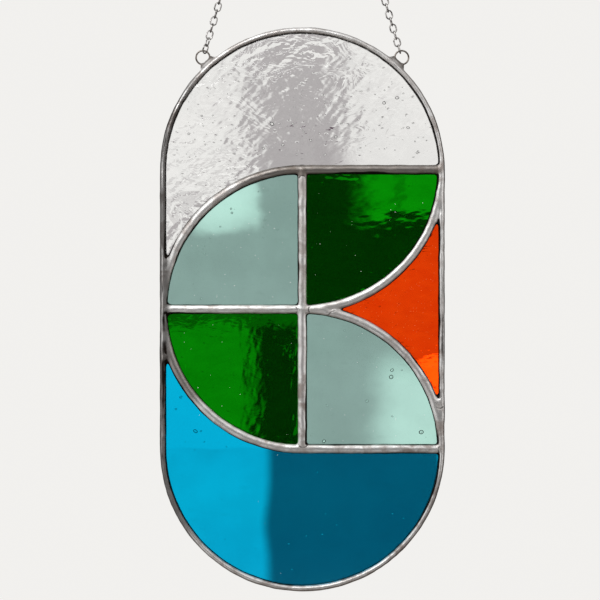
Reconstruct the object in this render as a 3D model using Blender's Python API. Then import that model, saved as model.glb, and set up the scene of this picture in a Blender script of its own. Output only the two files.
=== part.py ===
"""A stained glass suncatcher: seven panes of glass in soldered seams, hung by a chain from one ring.

The panel is an upright oblong with round ends, 125 mm wide. Its pattern is laid out on one
radius: four quarter-round panes meet at the panel's middle, and a pane fills each end and the
hollow at the right. Every pane sits in a groove of the solder, which is one solid with a bead
on each face. X runs to the right, Y away from the front, Z up. The origin is the point inside
the top ring that bears on a hook.
"""

import math
from collections import namedtuple

import bmesh
import bpy
from mathutils import Matrix, Vector

# The panel, in metres
QUARTER_RADIUS = 0.06125
RIM_REACH = 0.00125
GLASS_THICKNESS = 0.003
SEAM_WIDTH = 0.004
SEAM_CROWN = 0.001
RIM_WIDTH = 0.0026
RIM_CROWN = 0.0006
RIM_FLANK = 0.002
BEAD_HEIGHT = 0.0013
SEAM_CORE = 0.0005
RIM_WALL = 0.00065
OPENING_CORNER = 0.0005
GLASS_CORNER = 0.0007
FIT_GAP = 0.0003

# The rings that are soldered to the rim, and the solder round their feet
SIDE_RING_WIDTH = 0.0068
SIDE_RING_WIRE = 0.00075
SIDE_RING_ANGLE = math.radians(41.5)
TAB_LENGTH = 0.0056
TAB_DEPTH = 0.0028
TAB_HEIGHT = 0.0022

# The ring at the top, and how far its centre is above those of the side rings
TOP_RING_WIDTH = 0.012
TOP_RING_WIRE = 0.0012
HANGER_RISE = 0.148

# The chain
LINK_WIDTH = 0.0033
LINK_WIRE = 0.00065
LINK_PITCH = 0.00317
LINK_BITE = 0.00012
LINK_END_SHARE = 0.66
LEFT_TWIST = math.radians(50)
TWISTED_LINKS = 3

# How finely the round forms are cut, the least turn in degrees that counts as a corner, and how
# near two points are to be one
QUARTER_STEPS = 10
CAP_STEPS = 18
SIDE_ARC_STEPS = 6
CORNER_STEPS = 2
BEAD_TURNS = (0, 50, 90)
RING_STEPS = 18
RING_SIDES = 6
TAB_STEPS = 10
LEAST_TURN = 1
ONE_POINT = 0.000001

# What follows from the sizes above
OUTER_RADIUS = QUARTER_RADIUS + RIM_REACH
TOP_RING_DROP = TOP_RING_WIDTH / 2 - TOP_RING_WIRE
SIDE_RING_REACH = OUTER_RADIUS + SIDE_RING_WIDTH / 2
TAB_REACH = OUTER_RADIUS - RIM_WALL + (FIT_GAP + TAB_HEIGHT) / 2
SIDE_RING_X = SIDE_RING_REACH * math.sin(SIDE_RING_ANGLE)
SIDE_RING_LIFT = QUARTER_RADIUS + SIDE_RING_REACH * math.cos(SIDE_RING_ANGLE)
SIDE_RING_Z = -TOP_RING_DROP - HANGER_RISE
PANEL_Z = SIDE_RING_Z - SIDE_RING_LIFT

LEFT, RIGHT = -1, 1
UPPER, LOWER = 1, -1

# Where an outline runs: its distance from the seams' centrelines, its distance from the
# panel's long axis along the rim, its corner radius, and its depth behind the middle of the glass
Section = namedtuple("Section", "seam rim corner depth")


class Line:
    """A straight stretch of an outline, with the pane on its left."""

    def __init__(self, start, end):
        self.start, self.end = Vector(start), Vector(end)

    def turns(self):
        """The direction that faces out of the pane, in degrees, at the start and at the end."""
        run = self.end - self.start
        out = math.degrees(math.atan2(-run.x, run.y))
        return out, out

    def points(self, growth):
        """Its first point, moved out by growth."""
        out = math.radians(self.turns()[0])
        return [self.start + growth * Vector((math.cos(out), math.sin(out)))]


class Arc:
    """A round stretch of an outline. It bulges out of the pane if its angles grow, and else into it."""

    def __init__(self, centre, radius, start, end, steps):
        self.centre, self.radius = Vector(centre), radius
        self.start, self.end, self.steps = start, end, steps

    def turns(self):
        """The direction that faces out of the pane, in degrees, at the start and at the end."""
        flip = 0 if self.end > self.start else 180
        return self.start + flip, self.end + flip

    def points(self, growth):
        """Its points but the last, moved out by growth."""
        radius = self.radius + (growth if self.end > self.start else -growth)
        span = self.end - self.start
        angles = [math.radians(self.start + span * k / self.steps) for k in range(self.steps)]
        return [self.centre + radius * Vector((math.cos(a), math.sin(a))) for a in angles]


def end_pane(seam, rim):
    """The pane that fills the panel's upper end and reaches down beside the left quarter."""
    side = QUARTER_RADIUS + seam
    rise = math.degrees(math.asin(seam / rim))
    tip = math.degrees(math.acos(rim / side))
    return [
        Arc((0, QUARTER_RADIUS), rim, rise, 180, CAP_STEPS),
        Line((-rim, QUARTER_RADIUS), (-rim, side * math.sin(math.radians(tip)))),
        Arc((0, 0), side, 180 - tip, 90, QUARTER_STEPS),
        Line((0, side), (rim * math.cos(math.radians(rise)), side)),
    ]


def left_quarter(seam, rim):
    """The upper left quarter of a disc about the panel's middle."""
    radius = QUARTER_RADIUS - seam
    rise = math.degrees(math.asin(seam / radius))
    reach = radius * math.cos(math.radians(rise))
    return [
        Line((-seam, seam), (-seam, reach)),
        Arc((0, 0), radius, 90 + rise, 180 - rise, QUARTER_STEPS),
        Line((-reach, seam), (-seam, seam)),
    ]


def right_quarter(seam, rim):
    """The lower right quarter of a disc about the middle of the upper cross line."""
    radius = QUARTER_RADIUS - seam
    rise = math.degrees(math.asin(seam / radius))
    reach = radius * math.cos(math.radians(rise))
    return [
        Line((seam, radius), (seam, QUARTER_RADIUS - reach)),
        Arc((0, QUARTER_RADIUS), radius, 270 + rise, 360 - rise, QUARTER_STEPS),
        Line((reach, radius), (seam, radius)),
    ]


def hollow_pane(seam, rim):
    """The pane at the right rim, hollowed by the two right-hand quarters."""
    side = QUARTER_RADIUS + seam
    tip = math.degrees(math.acos(QUARTER_RADIUS / side))
    rise = math.degrees(math.acos(rim / side))
    half_height = QUARTER_RADIUS - side * math.sin(math.radians(rise))
    return [
        Arc((0, QUARTER_RADIUS), side, 360 - rise, 270 + tip, SIDE_ARC_STEPS),
        Arc((0, -QUARTER_RADIUS), side, 90 - tip, rise, SIDE_ARC_STEPS),
        Line((rim, -half_height), (rim, half_height)),
    ]


def rounded_outline(shape, half, section):
    """The closed outline of a pane's shape at a section, as points (x, z) of the panel.

    The shape is drawn smaller by the corner radius and grown back by it, which turns every
    corner as an arc about the smaller shape's own corner. The lower half is the upper mirrored.
    """
    grown = section.corner
    stretches = shape(section.seam + grown, section.rim - grown)
    points = []
    for before, stretch in zip([stretches[-1]] + stretches[:-1], stretches):
        turn_from = before.turns()[1]
        turn = (stretch.turns()[0] - turn_from) % 360
        if LEAST_TURN < turn < 180:
            corner = stretch.points(0)[0]
            for k in range(CORNER_STEPS):
                angle = math.radians(turn_from + turn * k / CORNER_STEPS)
                points.append(corner + grown * Vector((math.cos(angle), math.sin(angle))))
        points += stretch.points(grown)
    return [(x, z * half) for x, z in points]


def rim_outline(radius):
    """The panel's outline at a distance from its long axis, as points (x, z)."""
    points = []
    for half, first in ((UPPER, 0), (LOWER, 180)):
        for k in range(CAP_STEPS + 1):
            angle = math.radians(first + 180 * k / CAP_STEPS)
            points.append((radius * math.cos(angle), half * QUARTER_RADIUS + radius * math.sin(angle)))
    return points


Pane = namedtuple("Pane", "name shape half material")

PANES = (
    Pane("pane_clear_top", end_pane, UPPER, "clear_glass"),
    Pane("pane_sea_green_upper_left", left_quarter, UPPER, "sea_green_glass"),
    Pane("pane_green_upper_right", right_quarter, UPPER, "green_glass"),
    Pane("pane_orange_right", hollow_pane, UPPER, "orange_glass"),
    Pane("pane_green_lower_left", left_quarter, LOWER, "green_glass"),
    Pane("pane_sea_green_lower_right", right_quarter, LOWER, "sea_green_glass"),
    Pane("pane_blue_bottom", end_pane, LOWER, "blue_glass"),
)

# Colour, roughness, metallic, and how much light passes
FINISHES = {
    "clear_glass": ((0.93, 0.94, 0.93), 0.05, 0.0, 0.95),
    "sea_green_glass": ((0.56, 0.88, 0.75), 0.02, 0.0, 0.95),
    "green_glass": ((0.005, 0.30, 0.008), 0.02, 0.0, 0.95),
    "orange_glass": ((0.93, 0.09, 0.004), 0.02, 0.0, 0.95),
    "blue_glass": ((0.004, 0.50, 0.78), 0.02, 0.0, 0.95),
    "solder": ((0.56, 0.54, 0.52), 0.28, 1.0, 0.0),
    "steel_wire": ((0.62, 0.61, 0.60), 0.20, 1.0, 0.0),
}


def material(name):
    """The material of a finish, made the first time that it is asked for."""
    if name in bpy.data.materials:
        return bpy.data.materials[name]
    colour, roughness, metallic, clearness = FINISHES[name]
    made = bpy.data.materials.new(name)
    made.use_nodes = True
    shader = made.node_tree.nodes["Principled BSDF"]
    shader.inputs["Base Color"].default_value = (*colour, 1)
    shader.inputs["Roughness"].default_value = roughness
    shader.inputs["Metallic"].default_value = metallic
    shader.inputs["Transmission Weight"].default_value = clearness
    return made


def add_object(name, mesh, finish=None, parent=None):
    """Turns a bmesh into a named object with its faces out."""
    bmesh.ops.recalc_face_normals(mesh, faces=mesh.faces)
    data = bpy.data.meshes.new(name)
    mesh.to_mesh(data)
    mesh.free()
    made = bpy.data.objects.new(name, data)
    bpy.context.scene.collection.objects.link(made)
    if finish:
        data.materials.append(material(finish))
    made.parent = parent
    return made


def add_helper(name, mesh, parent=None):
    """An object that only shapes another one by a Boolean."""
    made = add_object(name, mesh, parent=parent)
    made.hide_render = True
    made.display_type = "WIRE"
    return made


def shade_smooth(made, angle=math.radians(40)):
    """Shades an object's round forms smooth and keeps its edges."""
    made.data.shade_smooth()
    made.data.set_sharp_from_angle(angle=angle)


def add_boolean(made, helper, operation):
    """Joins a helper to an object, or cuts it away."""
    modifier = made.modifiers.new(helper.name, "BOOLEAN")
    modifier.operation = operation
    modifier.object = helper


def add_loop(mesh, outline, depth):
    """The corners of an outline at a depth behind the middle of the glass."""
    return [mesh.verts.new((x, depth, z)) for x, z in outline]


def join_in_turn(mesh, loops):
    """Joins each loop of corners to the next by a band of faces."""
    for first, second in zip(loops, loops[1:]):
        for k in range(len(first)):
            mesh.faces.new((first[k - 1], first[k], second[k], second[k - 1]))


def fill_between(mesh, loops):
    """Fills the flat region that some loops of corners bound."""
    sides = [mesh.edges.get((loop[k - 1], loop[k])) for loop in loops for k in range(len(loop))]
    bmesh.ops.triangle_fill(mesh, edges=sides, use_beauty=True)


def make_pane(pane, parent):
    """A pane of glass, cut to sit in its groove with a gap all round."""
    rim = OUTER_RADIUS - RIM_WALL - FIT_GAP
    section = Section(SEAM_CORE / 2 + FIT_GAP, rim, GLASS_CORNER, 0)
    outline = rounded_outline(pane.shape, pane.half, section)
    mesh = bmesh.new()
    faces = [add_loop(mesh, outline, side * GLASS_THICKNESS / 2) for side in (-1, 1)]
    join_in_turn(mesh, faces)
    for face in faces:
        mesh.faces.new(face)
    return add_object(pane.name, mesh, pane.material, parent)


def opening_sections():
    """The solder's section round a pane, from the crown of the front bead to that of the back one."""
    seam_shoulder = (SEAM_WIDTH - SEAM_CROWN) / 2
    rim_shoulder = (RIM_WIDTH - RIM_CROWN) / 2
    rim_crown = OUTER_RADIUS - rim_shoulder - RIM_CROWN
    groove = GLASS_THICKNESS / 2 + FIT_GAP
    crown = GLASS_THICKNESS / 2 + BEAD_HEIGHT
    front = []
    for turn in map(math.radians, BEAD_TURNS):
        across, up = math.sin(turn), math.cos(turn)
        front.append(
            Section(
                SEAM_CROWN / 2 + seam_shoulder * across,
                rim_crown - rim_shoulder * across,
                OPENING_CORNER + seam_shoulder * (1 - across),
                -(groove + (crown - groove) * up),
            )
        )
    front.append(Section(SEAM_CORE / 2, OUTER_RADIUS - RIM_WALL, GLASS_CORNER + FIT_GAP, -groove))
    return front + [section._replace(depth=-section.depth) for section in reversed(front)]


def rim_sections():
    """(radius, depth) of the solder's outer side, from the front bead's crown to the back one's."""
    shoulder = (RIM_WIDTH - RIM_CROWN) / 2
    flank = RIM_FLANK / 2
    crown = GLASS_THICKNESS / 2 + BEAD_HEIGHT
    front = []
    for turn in map(math.radians, BEAD_TURNS):
        radius = OUTER_RADIUS - shoulder * (1 - math.sin(turn))
        front.append((radius, -(flank + (crown - flank) * math.cos(turn))))
    return front + [(radius, -depth) for radius, depth in reversed(front)]


def make_solder(parent):
    """The solder of all seams and of the rim: one solid with a groove for each pane."""
    mesh = bmesh.new()
    rows = [
        [
            add_loop(mesh, rounded_outline(pane.shape, pane.half, section), section.depth)
            for section in opening_sections()
        ]
        for pane in PANES
    ]
    rows.append([add_loop(mesh, rim_outline(radius), depth) for radius, depth in rim_sections()])
    for loops in rows:
        join_in_turn(mesh, loops)
    for crown in (0, -1):
        fill_between(mesh, [loops[crown] for loops in rows])
    solder = add_object("solder_lines", mesh, "solder", parent)
    for name, side in (("left", LEFT), ("right", RIGHT)):
        add_boolean(solder, add_tab(name, side, parent), "UNION")
        add_boolean(solder, add_ring_groove(name, side, parent), "DIFFERENCE")
    return solder


def side_ring_centre(side):
    """The centre of a side ring, from the panel's middle."""
    return Vector((side * SIDE_RING_X, 0, SIDE_RING_LIFT))


def add_tab(name, side, parent):
    """The mound of solder that holds a side ring's foot. It stays out of the glass's groove."""
    mesh = bmesh.new()
    bmesh.ops.create_uvsphere(
        mesh,
        u_segments=TAB_STEPS,
        v_segments=TAB_STEPS // 2 + 1,
        radius=0.5,
        matrix=Matrix.Diagonal((TAB_LENGTH, TAB_DEPTH, TAB_HEIGHT, 1)),
    )
    tab = add_helper("tab_" + name, mesh, parent)
    lean = side * SIDE_RING_ANGLE
    tab.location = (TAB_REACH * math.sin(lean), 0, QUARTER_RADIUS + TAB_REACH * math.cos(lean))
    tab.rotation_euler = (0, lean, 0)
    return tab


def ring_mesh(width, wire, clearance=0.0):
    """A closed wire ring in the XZ plane, its wire fatter all round by a clearance."""
    mesh = bmesh.new()
    bmesh.ops.create_circle(
        mesh,
        cap_ends=False,
        radius=wire / 2 + clearance,
        segments=RING_SIDES,
        matrix=Matrix.Translation(((width - wire) / 2, 0, 0)),
    )
    bmesh.ops.spin(
        mesh,
        geom=mesh.verts[:] + mesh.edges[:],
        cent=(0, 0, 0),
        axis=(0, 1, 0),
        angle=math.tau,
        steps=RING_STEPS,
    )
    bmesh.ops.remove_doubles(mesh, verts=mesh.verts, dist=ONE_POINT)
    return mesh


def add_ring_groove(name, side, parent):
    """The room that a side ring takes in the solder."""
    groove = add_helper(
        "ring_groove_" + name, ring_mesh(SIDE_RING_WIDTH, SIDE_RING_WIRE, FIT_GAP), parent
    )
    groove.location = side_ring_centre(side)
    return groove


def make_side_ring(name, side, parent):
    """A wire ring soldered to the rim by its foot."""
    ring = add_object(
        "side_ring_" + name, ring_mesh(SIDE_RING_WIDTH, SIDE_RING_WIRE), "steel_wire", parent
    )
    ring.location = side_ring_centre(side)
    shade_smooth(ring)


def make_top_ring():
    """The wire ring that holds both ends of the chain and goes over a hook."""
    ring = add_object("top_ring", ring_mesh(TOP_RING_WIDTH, TOP_RING_WIRE), "steel_wire")
    ring.location = (0, 0, -TOP_RING_DROP)
    shade_smooth(ring)


def add_link(mesh, length, place):
    """A chain link in the XZ plane of a place: wire with six bends and flat ends.

    Length is from wire centre to wire centre. The wire's section is a triangle with its flat
    side to the link's inside, where the next link bears.
    """
    half_width = (LINK_WIDTH - LINK_WIRE) / 2
    half_end = half_width * LINK_END_SHARE
    wire = LINK_WIRE / 2
    section = ((wire, 0), (-wire, wire), (-wire, -wire))
    bends = [Vector((half_width, 0, 0))]
    bends += [Vector((x * half_end, 0, length / 2)) for x in (1, -1)]
    bends += [-bend for bend in bends]
    rings = []
    for k, bend in enumerate(bends):
        before = (bend - bends[k - 1]).normalized()
        after = (bends[(k + 1) % len(bends)] - bend).normalized()
        along = (before + after).normalized()
        out = along.cross(Vector((0, -1, 0)))
        mitre = 1 / along.dot(after)
        corners = [bend + mitre * reach * out + Vector((0, rise, 0)) for reach, rise in section]
        rings.append([mesh.verts.new(place @ corner) for corner in corners])
    for ring, following in zip(rings, rings[1:] + rings[:1]):
        for k in range(len(section)):
            near = k - 1
            mesh.faces.new((ring[near], ring[k], following[k], following[near]))


def link_turn(number, quarters, twist):
    """How far a link is turned about the chain: a quarter more than the last, twisted at the foot."""
    share = max(0.0, 1 - number / TWISTED_LINKS)
    return (number + quarters) * math.pi / 2 + share * twist


def make_chain(name, side, quarters, twist):
    """One side of the chain, drawn straight by the panel's weight, from a side ring to the top ring.

    Its first link is turned by some quarters, and the number of links lets the last one cross
    the top ring. Links are fused where they bear on each other, and the end links clear the rings.
    """
    run = Vector((-side * SIDE_RING_X, 0, HANGER_RISE))
    wire_gap = LINK_WIRE / 2 + FIT_GAP
    start = SIDE_RING_WIDTH / 2 - SIDE_RING_WIRE - wire_gap
    end = run.length - (TOP_RING_WIDTH / 2 - TOP_RING_WIRE - wire_gap)
    overlap = LINK_WIRE - LINK_BITE
    span = end - start - overlap
    count = quarters + 2 * round((span / LINK_PITCH - quarters) / 2)
    pitch = span / count
    length = pitch + overlap
    meshes = bmesh.new(), bmesh.new()
    for number in range(count):
        centre = Vector((0, 0, start + length / 2 + number * pitch))
        turn = Matrix.Rotation(link_turn(number, quarters, twist), 4, "Z")
        add_link(meshes[number % 2], length, Matrix.Translation(centre) @ turn)
    chain = add_object("chain_" + name, meshes[0], "steel_wire")
    others = add_helper(f"chain_{name}_other_links", meshes[1])
    for piece in (chain, others):
        piece.location = (side * SIDE_RING_X, 0, SIDE_RING_Z)
        piece.rotation_euler = (0, math.atan2(run.x, run.z), 0)
    add_boolean(chain, others, "UNION")


def main():
    for old in list(bpy.data.objects):
        bpy.data.objects.remove(old)
    panel = bpy.data.objects.new("panel", None)
    panel.location = (0, 0, PANEL_Z)
    bpy.context.scene.collection.objects.link(panel)
    for pane in PANES:
        make_pane(pane, panel)
    shade_smooth(make_solder(panel))
    make_side_ring("left", LEFT, panel)
    make_side_ring("right", RIGHT, panel)
    make_chain("left", LEFT, 0, LEFT_TWIST)
    make_chain("right", RIGHT, 1, 0)
    make_top_ring()


main()
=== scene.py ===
"""A stained glass suncatcher: rippled panes with seeds, solder flowed by hand, wire rings and chain.

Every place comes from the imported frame: the panel's middle and the rings' middles are the middles
of their nodes. Lengths are in metres. The panel's front faces -Y and its long axis is Z.
"""

import logging
import math
import random
from collections.abc import Callable
from dataclasses import dataclass, replace
from enum import Enum
from functools import cache, partial, reduce

import bpy
from mathutils import Matrix, Vector
from mathutils.bvhtree import BVHTree


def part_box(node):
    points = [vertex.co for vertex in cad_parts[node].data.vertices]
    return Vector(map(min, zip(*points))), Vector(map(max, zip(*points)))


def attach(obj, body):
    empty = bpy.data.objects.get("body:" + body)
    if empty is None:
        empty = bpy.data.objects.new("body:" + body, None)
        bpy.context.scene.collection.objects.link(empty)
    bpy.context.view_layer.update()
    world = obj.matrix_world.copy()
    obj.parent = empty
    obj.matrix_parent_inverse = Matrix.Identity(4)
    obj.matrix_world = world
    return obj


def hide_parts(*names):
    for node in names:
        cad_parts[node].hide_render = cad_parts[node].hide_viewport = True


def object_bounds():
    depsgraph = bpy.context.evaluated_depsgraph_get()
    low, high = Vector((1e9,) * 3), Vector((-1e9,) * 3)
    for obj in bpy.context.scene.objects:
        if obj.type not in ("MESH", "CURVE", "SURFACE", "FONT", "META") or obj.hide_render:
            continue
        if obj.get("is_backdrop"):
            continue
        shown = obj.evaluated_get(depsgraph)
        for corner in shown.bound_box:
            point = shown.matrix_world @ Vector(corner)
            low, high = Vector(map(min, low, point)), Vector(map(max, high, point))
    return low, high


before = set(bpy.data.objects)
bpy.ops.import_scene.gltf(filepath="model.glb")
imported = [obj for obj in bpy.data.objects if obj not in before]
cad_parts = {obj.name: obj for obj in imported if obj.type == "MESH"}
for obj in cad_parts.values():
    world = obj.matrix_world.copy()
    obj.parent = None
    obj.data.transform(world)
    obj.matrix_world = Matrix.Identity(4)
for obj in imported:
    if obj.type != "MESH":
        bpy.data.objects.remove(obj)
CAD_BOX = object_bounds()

BODY = "root"
LOG = logging.getLogger("suncatcher")

Colour = tuple[float, float, float]
Place = tuple[float, float, float]
Piece = bpy.types.Object
Socket = bpy.types.NodeSocket
Sockets = dict[str, Socket]
# How far a swell's pattern moves for each step of its seed.
SEED_STEP: Place = (0.37, 0.11, 0.23)


class Side(Enum):
    """A side of the panel, seen from the front."""

    LEFT = -1
    RIGHT = 1


class Turn(Enum):
    """Which way a seam's arc is swept about the Y axis."""

    ONWARD = 1
    BACK = -1


@dataclass(frozen=True)
class PanelPlan:
    """The panel's plan, which every seam and pane is laid out on.

    Args:
        radius: the pattern's one radius, from a springing point to the rim's centreline.
        outer: the radius of the rim's outer side about a cap's centre.
        glass: the thickness of the glass.
        calm_up: how far above the level top seam's middle the clear sheet's ripples start to grow.
        calm_rise: over what height they grow to their full strength.
        calm_left: how far to the right they start to grow, from the panel's middle.
        calm_run: over what width they grow to their full strength, to the left.
        calm_floor: their least strength.
    """

    radius: float = 0.06125
    outer: float = 0.0625
    glass: float = 0.003
    calm_up: float = 0.002
    calm_rise: float = 0.018
    calm_left: float = -0.004
    calm_run: float = 0.02
    calm_floor: float = 0.1

    def middle(self) -> Vector:
        """The panel's middle, which is the middle of its solder."""
        return node_middle("solder_lines")

    def calm(self, across: float, height: float) -> float:
        """How strong the clear sheet's ripples are at a point: calm just above the level top seam.

        Args:
            across: how far the point is to the right of the panel's middle.
            height: its height.

        Returns:
            The strength, from calm_floor to 1.
        """
        above = (height - self.middle().z - self.radius - self.calm_up) / self.calm_rise
        beside = (self.calm_left - across) / self.calm_run
        return min(1.0, max(self.calm_floor, above, beside))

    def point(self, right: float, up: float) -> Place:
        """A point of the glass's middle plane, given in radii from the panel's middle."""
        middle = self.middle()
        return (middle.x + right * self.radius, middle.y, middle.z + up * self.radius)


@dataclass(frozen=True)
class RingSize:
    """A wire ring's size.

    Args:
        width: its outer width.
        wire: its wire's thickness.
    """

    width: float
    wire: float

    @property
    def radius(self) -> float:
        """From the ring's middle to its wire's own centreline."""
        return (self.width - self.wire) / 2

    @property
    def bore(self) -> float:
        """The radius of its bore."""
        return self.width / 2 - self.wire


PLAN = PanelPlan()
SIDE_RING = RingSize(0.0068, 0.00075)
TOP_RING = RingSize(0.012, 0.0012)


# Making


@cache
def node_middle(node: str) -> Vector:
    """The middle of a CAD node's box."""
    lowest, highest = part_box(node)
    return (lowest + highest) / 2


def deselect_all() -> None:
    """Leaves object mode with nothing selected."""
    if bpy.context.object and bpy.context.object.mode != "OBJECT":
        bpy.ops.object.mode_set(mode="OBJECT")
    bpy.ops.object.select_all(action="DESELECT")


def make_active(piece: Piece) -> None:
    """Selects one object alone and makes it active.

    Args:
        piece: the object.
    """
    deselect_all()
    piece.select_set(True)
    bpy.context.view_layer.objects.active = piece


def select_whole() -> None:
    """Selects all of the mesh in edit mode."""
    bpy.ops.mesh.select_all(action="SELECT")


def edit(piece: Piece) -> None:
    """Opens an object in edit mode with all of it selected.

    Args:
        piece: the object.
    """
    make_active(piece)
    bpy.ops.object.mode_set(mode="EDIT")
    select_whole()


def select_vertices(piece: Piece, chosen: Callable[[Vector], bool]) -> None:
    """Opens an object in edit mode with only the chosen vertices selected.

    Args:
        piece: the object.
        chosen: True for the place of a vertex that is to be selected.
    """
    if piece.mode == "OBJECT":
        edit(piece)
    bpy.ops.mesh.select_all(action="DESELECT")
    bpy.ops.object.mode_set(mode="OBJECT")
    for vertex in piece.data.vertices:
        vertex.select = chosen(vertex.co)
    bpy.ops.object.mode_set(mode="EDIT")


def close_edit(name: str | None = None) -> Piece:
    """Leaves edit mode.

    Args:
        name: the active object's new name, if it gets one.

    Returns:
        The active object.
    """
    bpy.ops.object.mode_set(mode="OBJECT")
    piece = bpy.context.object
    if name:
        piece.name = piece.data.name = name
    return piece


def apply_transforms() -> None:
    """Applies the selected objects' places, turns and sizes to their meshes."""
    bpy.ops.object.transform_apply(location=True, rotation=True, scale=True)


def draw_out(by: Place) -> None:
    """Draws the selected rim of an open mesh out by a way."""
    bpy.ops.mesh.extrude_region_move(TRANSFORM_OT_translate={"value": by})


def start_ball(size: Place) -> None:
    """Starts a ball about the origin, in edit mode, all of it selected.

    Args:
        size: half its width, depth and height.
    """
    deselect_all()
    bpy.ops.mesh.primitive_uv_sphere_add(segments=24, ring_count=12, radius=1, enter_editmode=True)
    select_whole()
    bpy.ops.transform.resize(value=size)


def join(pieces: list[Piece], name: str) -> Piece:
    """Joins objects into the first of them.

    Args:
        pieces: the objects, each with its place in its mesh or its matrix.
        name: the joined object's name.

    Returns:
        The joined object.
    """
    make_active(pieces[0])
    for piece in pieces:
        piece.select_set(True)
    bpy.ops.object.join()
    apply_transforms()
    joined = bpy.context.object
    joined.name = joined.data.name = name
    return joined


def copy_of(piece: Piece, matrix: Matrix) -> Piece:
    """Copies an object with its own mesh to a place.

    Args:
        piece: the object to copy.
        matrix: the copy's place, turn and size.

    Returns:
        The copy.
    """
    copy = piece.copy()
    copy.data = piece.data.copy()
    bpy.context.scene.collection.objects.link(copy)
    copy.matrix_world = matrix
    return copy


def apply_modifier(piece: Piece, kind: str, **settings: object) -> None:
    """Adds a modifier with its settings and applies it at once.

    Args:
        piece: the object.
        kind: the modifier's type.
        settings: its settings by name.
    """
    make_active(piece)
    bpy.ops.object.modifier_add(type=kind)
    modifier = piece.modifiers[-1]
    for setting, value in settings.items():
        setattr(modifier, setting, value)
    bpy.ops.object.modifier_apply(modifier=modifier.name)


@dataclass(frozen=True)
class BeadSection:
    """A solder line's section: straight sides in the joint and a low round crown on each face.

    Args:
        half_width: half its width in the panel's plane.
        side: half the height of its straight sides.
        crown: how far a crown stands above them.
    """

    half_width: float
    side: float
    crown: float

    def start(self, at: Place, along_x: bool = False) -> None:
        """Starts a bar: the section in edit mode, all of it selected.

        Args:
            at: where the bar starts.
            along_x: True for a bar that leaves along X, and False for one that leaves along Z.
        """
        deselect_all()
        bpy.ops.mesh.primitive_circle_add(vertices=24, radius=1, fill_type="NOTHING")
        for way in (1, -1):
            select_vertices(bpy.context.object, lambda place: place.y * way > 0.01)
            bpy.ops.transform.translate(value=(0, way * self.side / self.crown, 0))
        select_whole()
        bpy.ops.transform.resize(value=(self.half_width, self.crown, 1), center_override=(0, 0, 0))
        if along_x:
            bpy.ops.transform.rotate(value=math.pi / 2, orient_axis="Y", center_override=(0, 0, 0))
        bpy.ops.transform.translate(value=at)

    def limit(self, depth: float) -> float:
        """Half the section's width at a height from its middle."""
        over = min(1.0, max(0.0, abs(depth) - self.side) / self.crown)
        return self.half_width * math.sqrt(1 - over * over)


def close_bar(name: str) -> Piece:
    """Ends a bar: its doubles are merged, its ends closed and its faces turned out.

    Args:
        name: the bar's name.

    Returns:
        The bar.
    """
    select_whole()
    bpy.ops.mesh.remove_doubles(threshold=0.00001)
    select_whole()
    bpy.ops.mesh.fill_holes(sides=0)
    select_whole()
    bpy.ops.mesh.normals_make_consistent(inside=False)
    return close_edit(name)


@dataclass(frozen=True)
class Swell:
    """A slow, uneven rise and fall of a surface.

    Args:
        height: how far it rises and falls in all.
        lengths: how far apart the rises are along its own three axes.
        lean: how far its first axis leans up from X, in degrees.
        seed: moves the pattern to another place.
        depth: how much finer detail rides on it.
        contrast: how steeply it goes from low to high.
    """

    height: float
    lengths: Place
    lean: float = 0.0
    seed: int = 0
    depth: int = 1
    contrast: float = 1.0

    def apply(self, piece: Piece, group: str = "") -> None:
        """Moves a piece's surface along its normals.

        Args:
            piece: the piece.
            group: the vertex group whose weights say how much, if not all of it alike.
        """
        deselect_all()
        start = [self.seed * step for step in SEED_STEP]
        bpy.ops.object.empty_add(location=start, rotation=(0, -math.radians(self.lean), 0))
        guide = bpy.context.object
        guide.scale = self.lengths
        texture = bpy.data.textures.new("swell", "CLOUDS")
        texture.noise_scale = 1.0
        texture.noise_depth = self.depth
        texture.contrast = self.contrast
        bpy.context.view_layer.update()
        apply_modifier(
            piece,
            "DISPLACE",
            texture=texture,
            texture_coords="OBJECT",
            texture_coords_object=guide,
            strength=self.height,
            mid_level=0.5,
            vertex_group=group,
        )
        bpy.data.objects.remove(guide)
        bpy.data.textures.remove(texture)


def finish_piece(
    piece: Piece, material: bpy.types.Material, nodes: list[str], sharp: float = 60.0
) -> None:
    """Shades a piece smooth, dresses it and ties it to the frame.

    Args:
        piece: the finished mesh, with its place in its mesh.
        material: what it is made of.
        nodes: the CAD nodes that it stands for.
        sharp: the angle in degrees past which an edge stays sharp.
    """
    make_active(piece)
    bpy.ops.object.shade_smooth_by_angle(angle=math.radians(sharp))
    piece.data.materials.clear()
    piece.data.materials.append(material)
    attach(piece, BODY)
    if nodes:
        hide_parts(*nodes)
    LOG.info("%s: %d faces", piece.name, len(piece.data.polygons))


# Finishes


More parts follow.
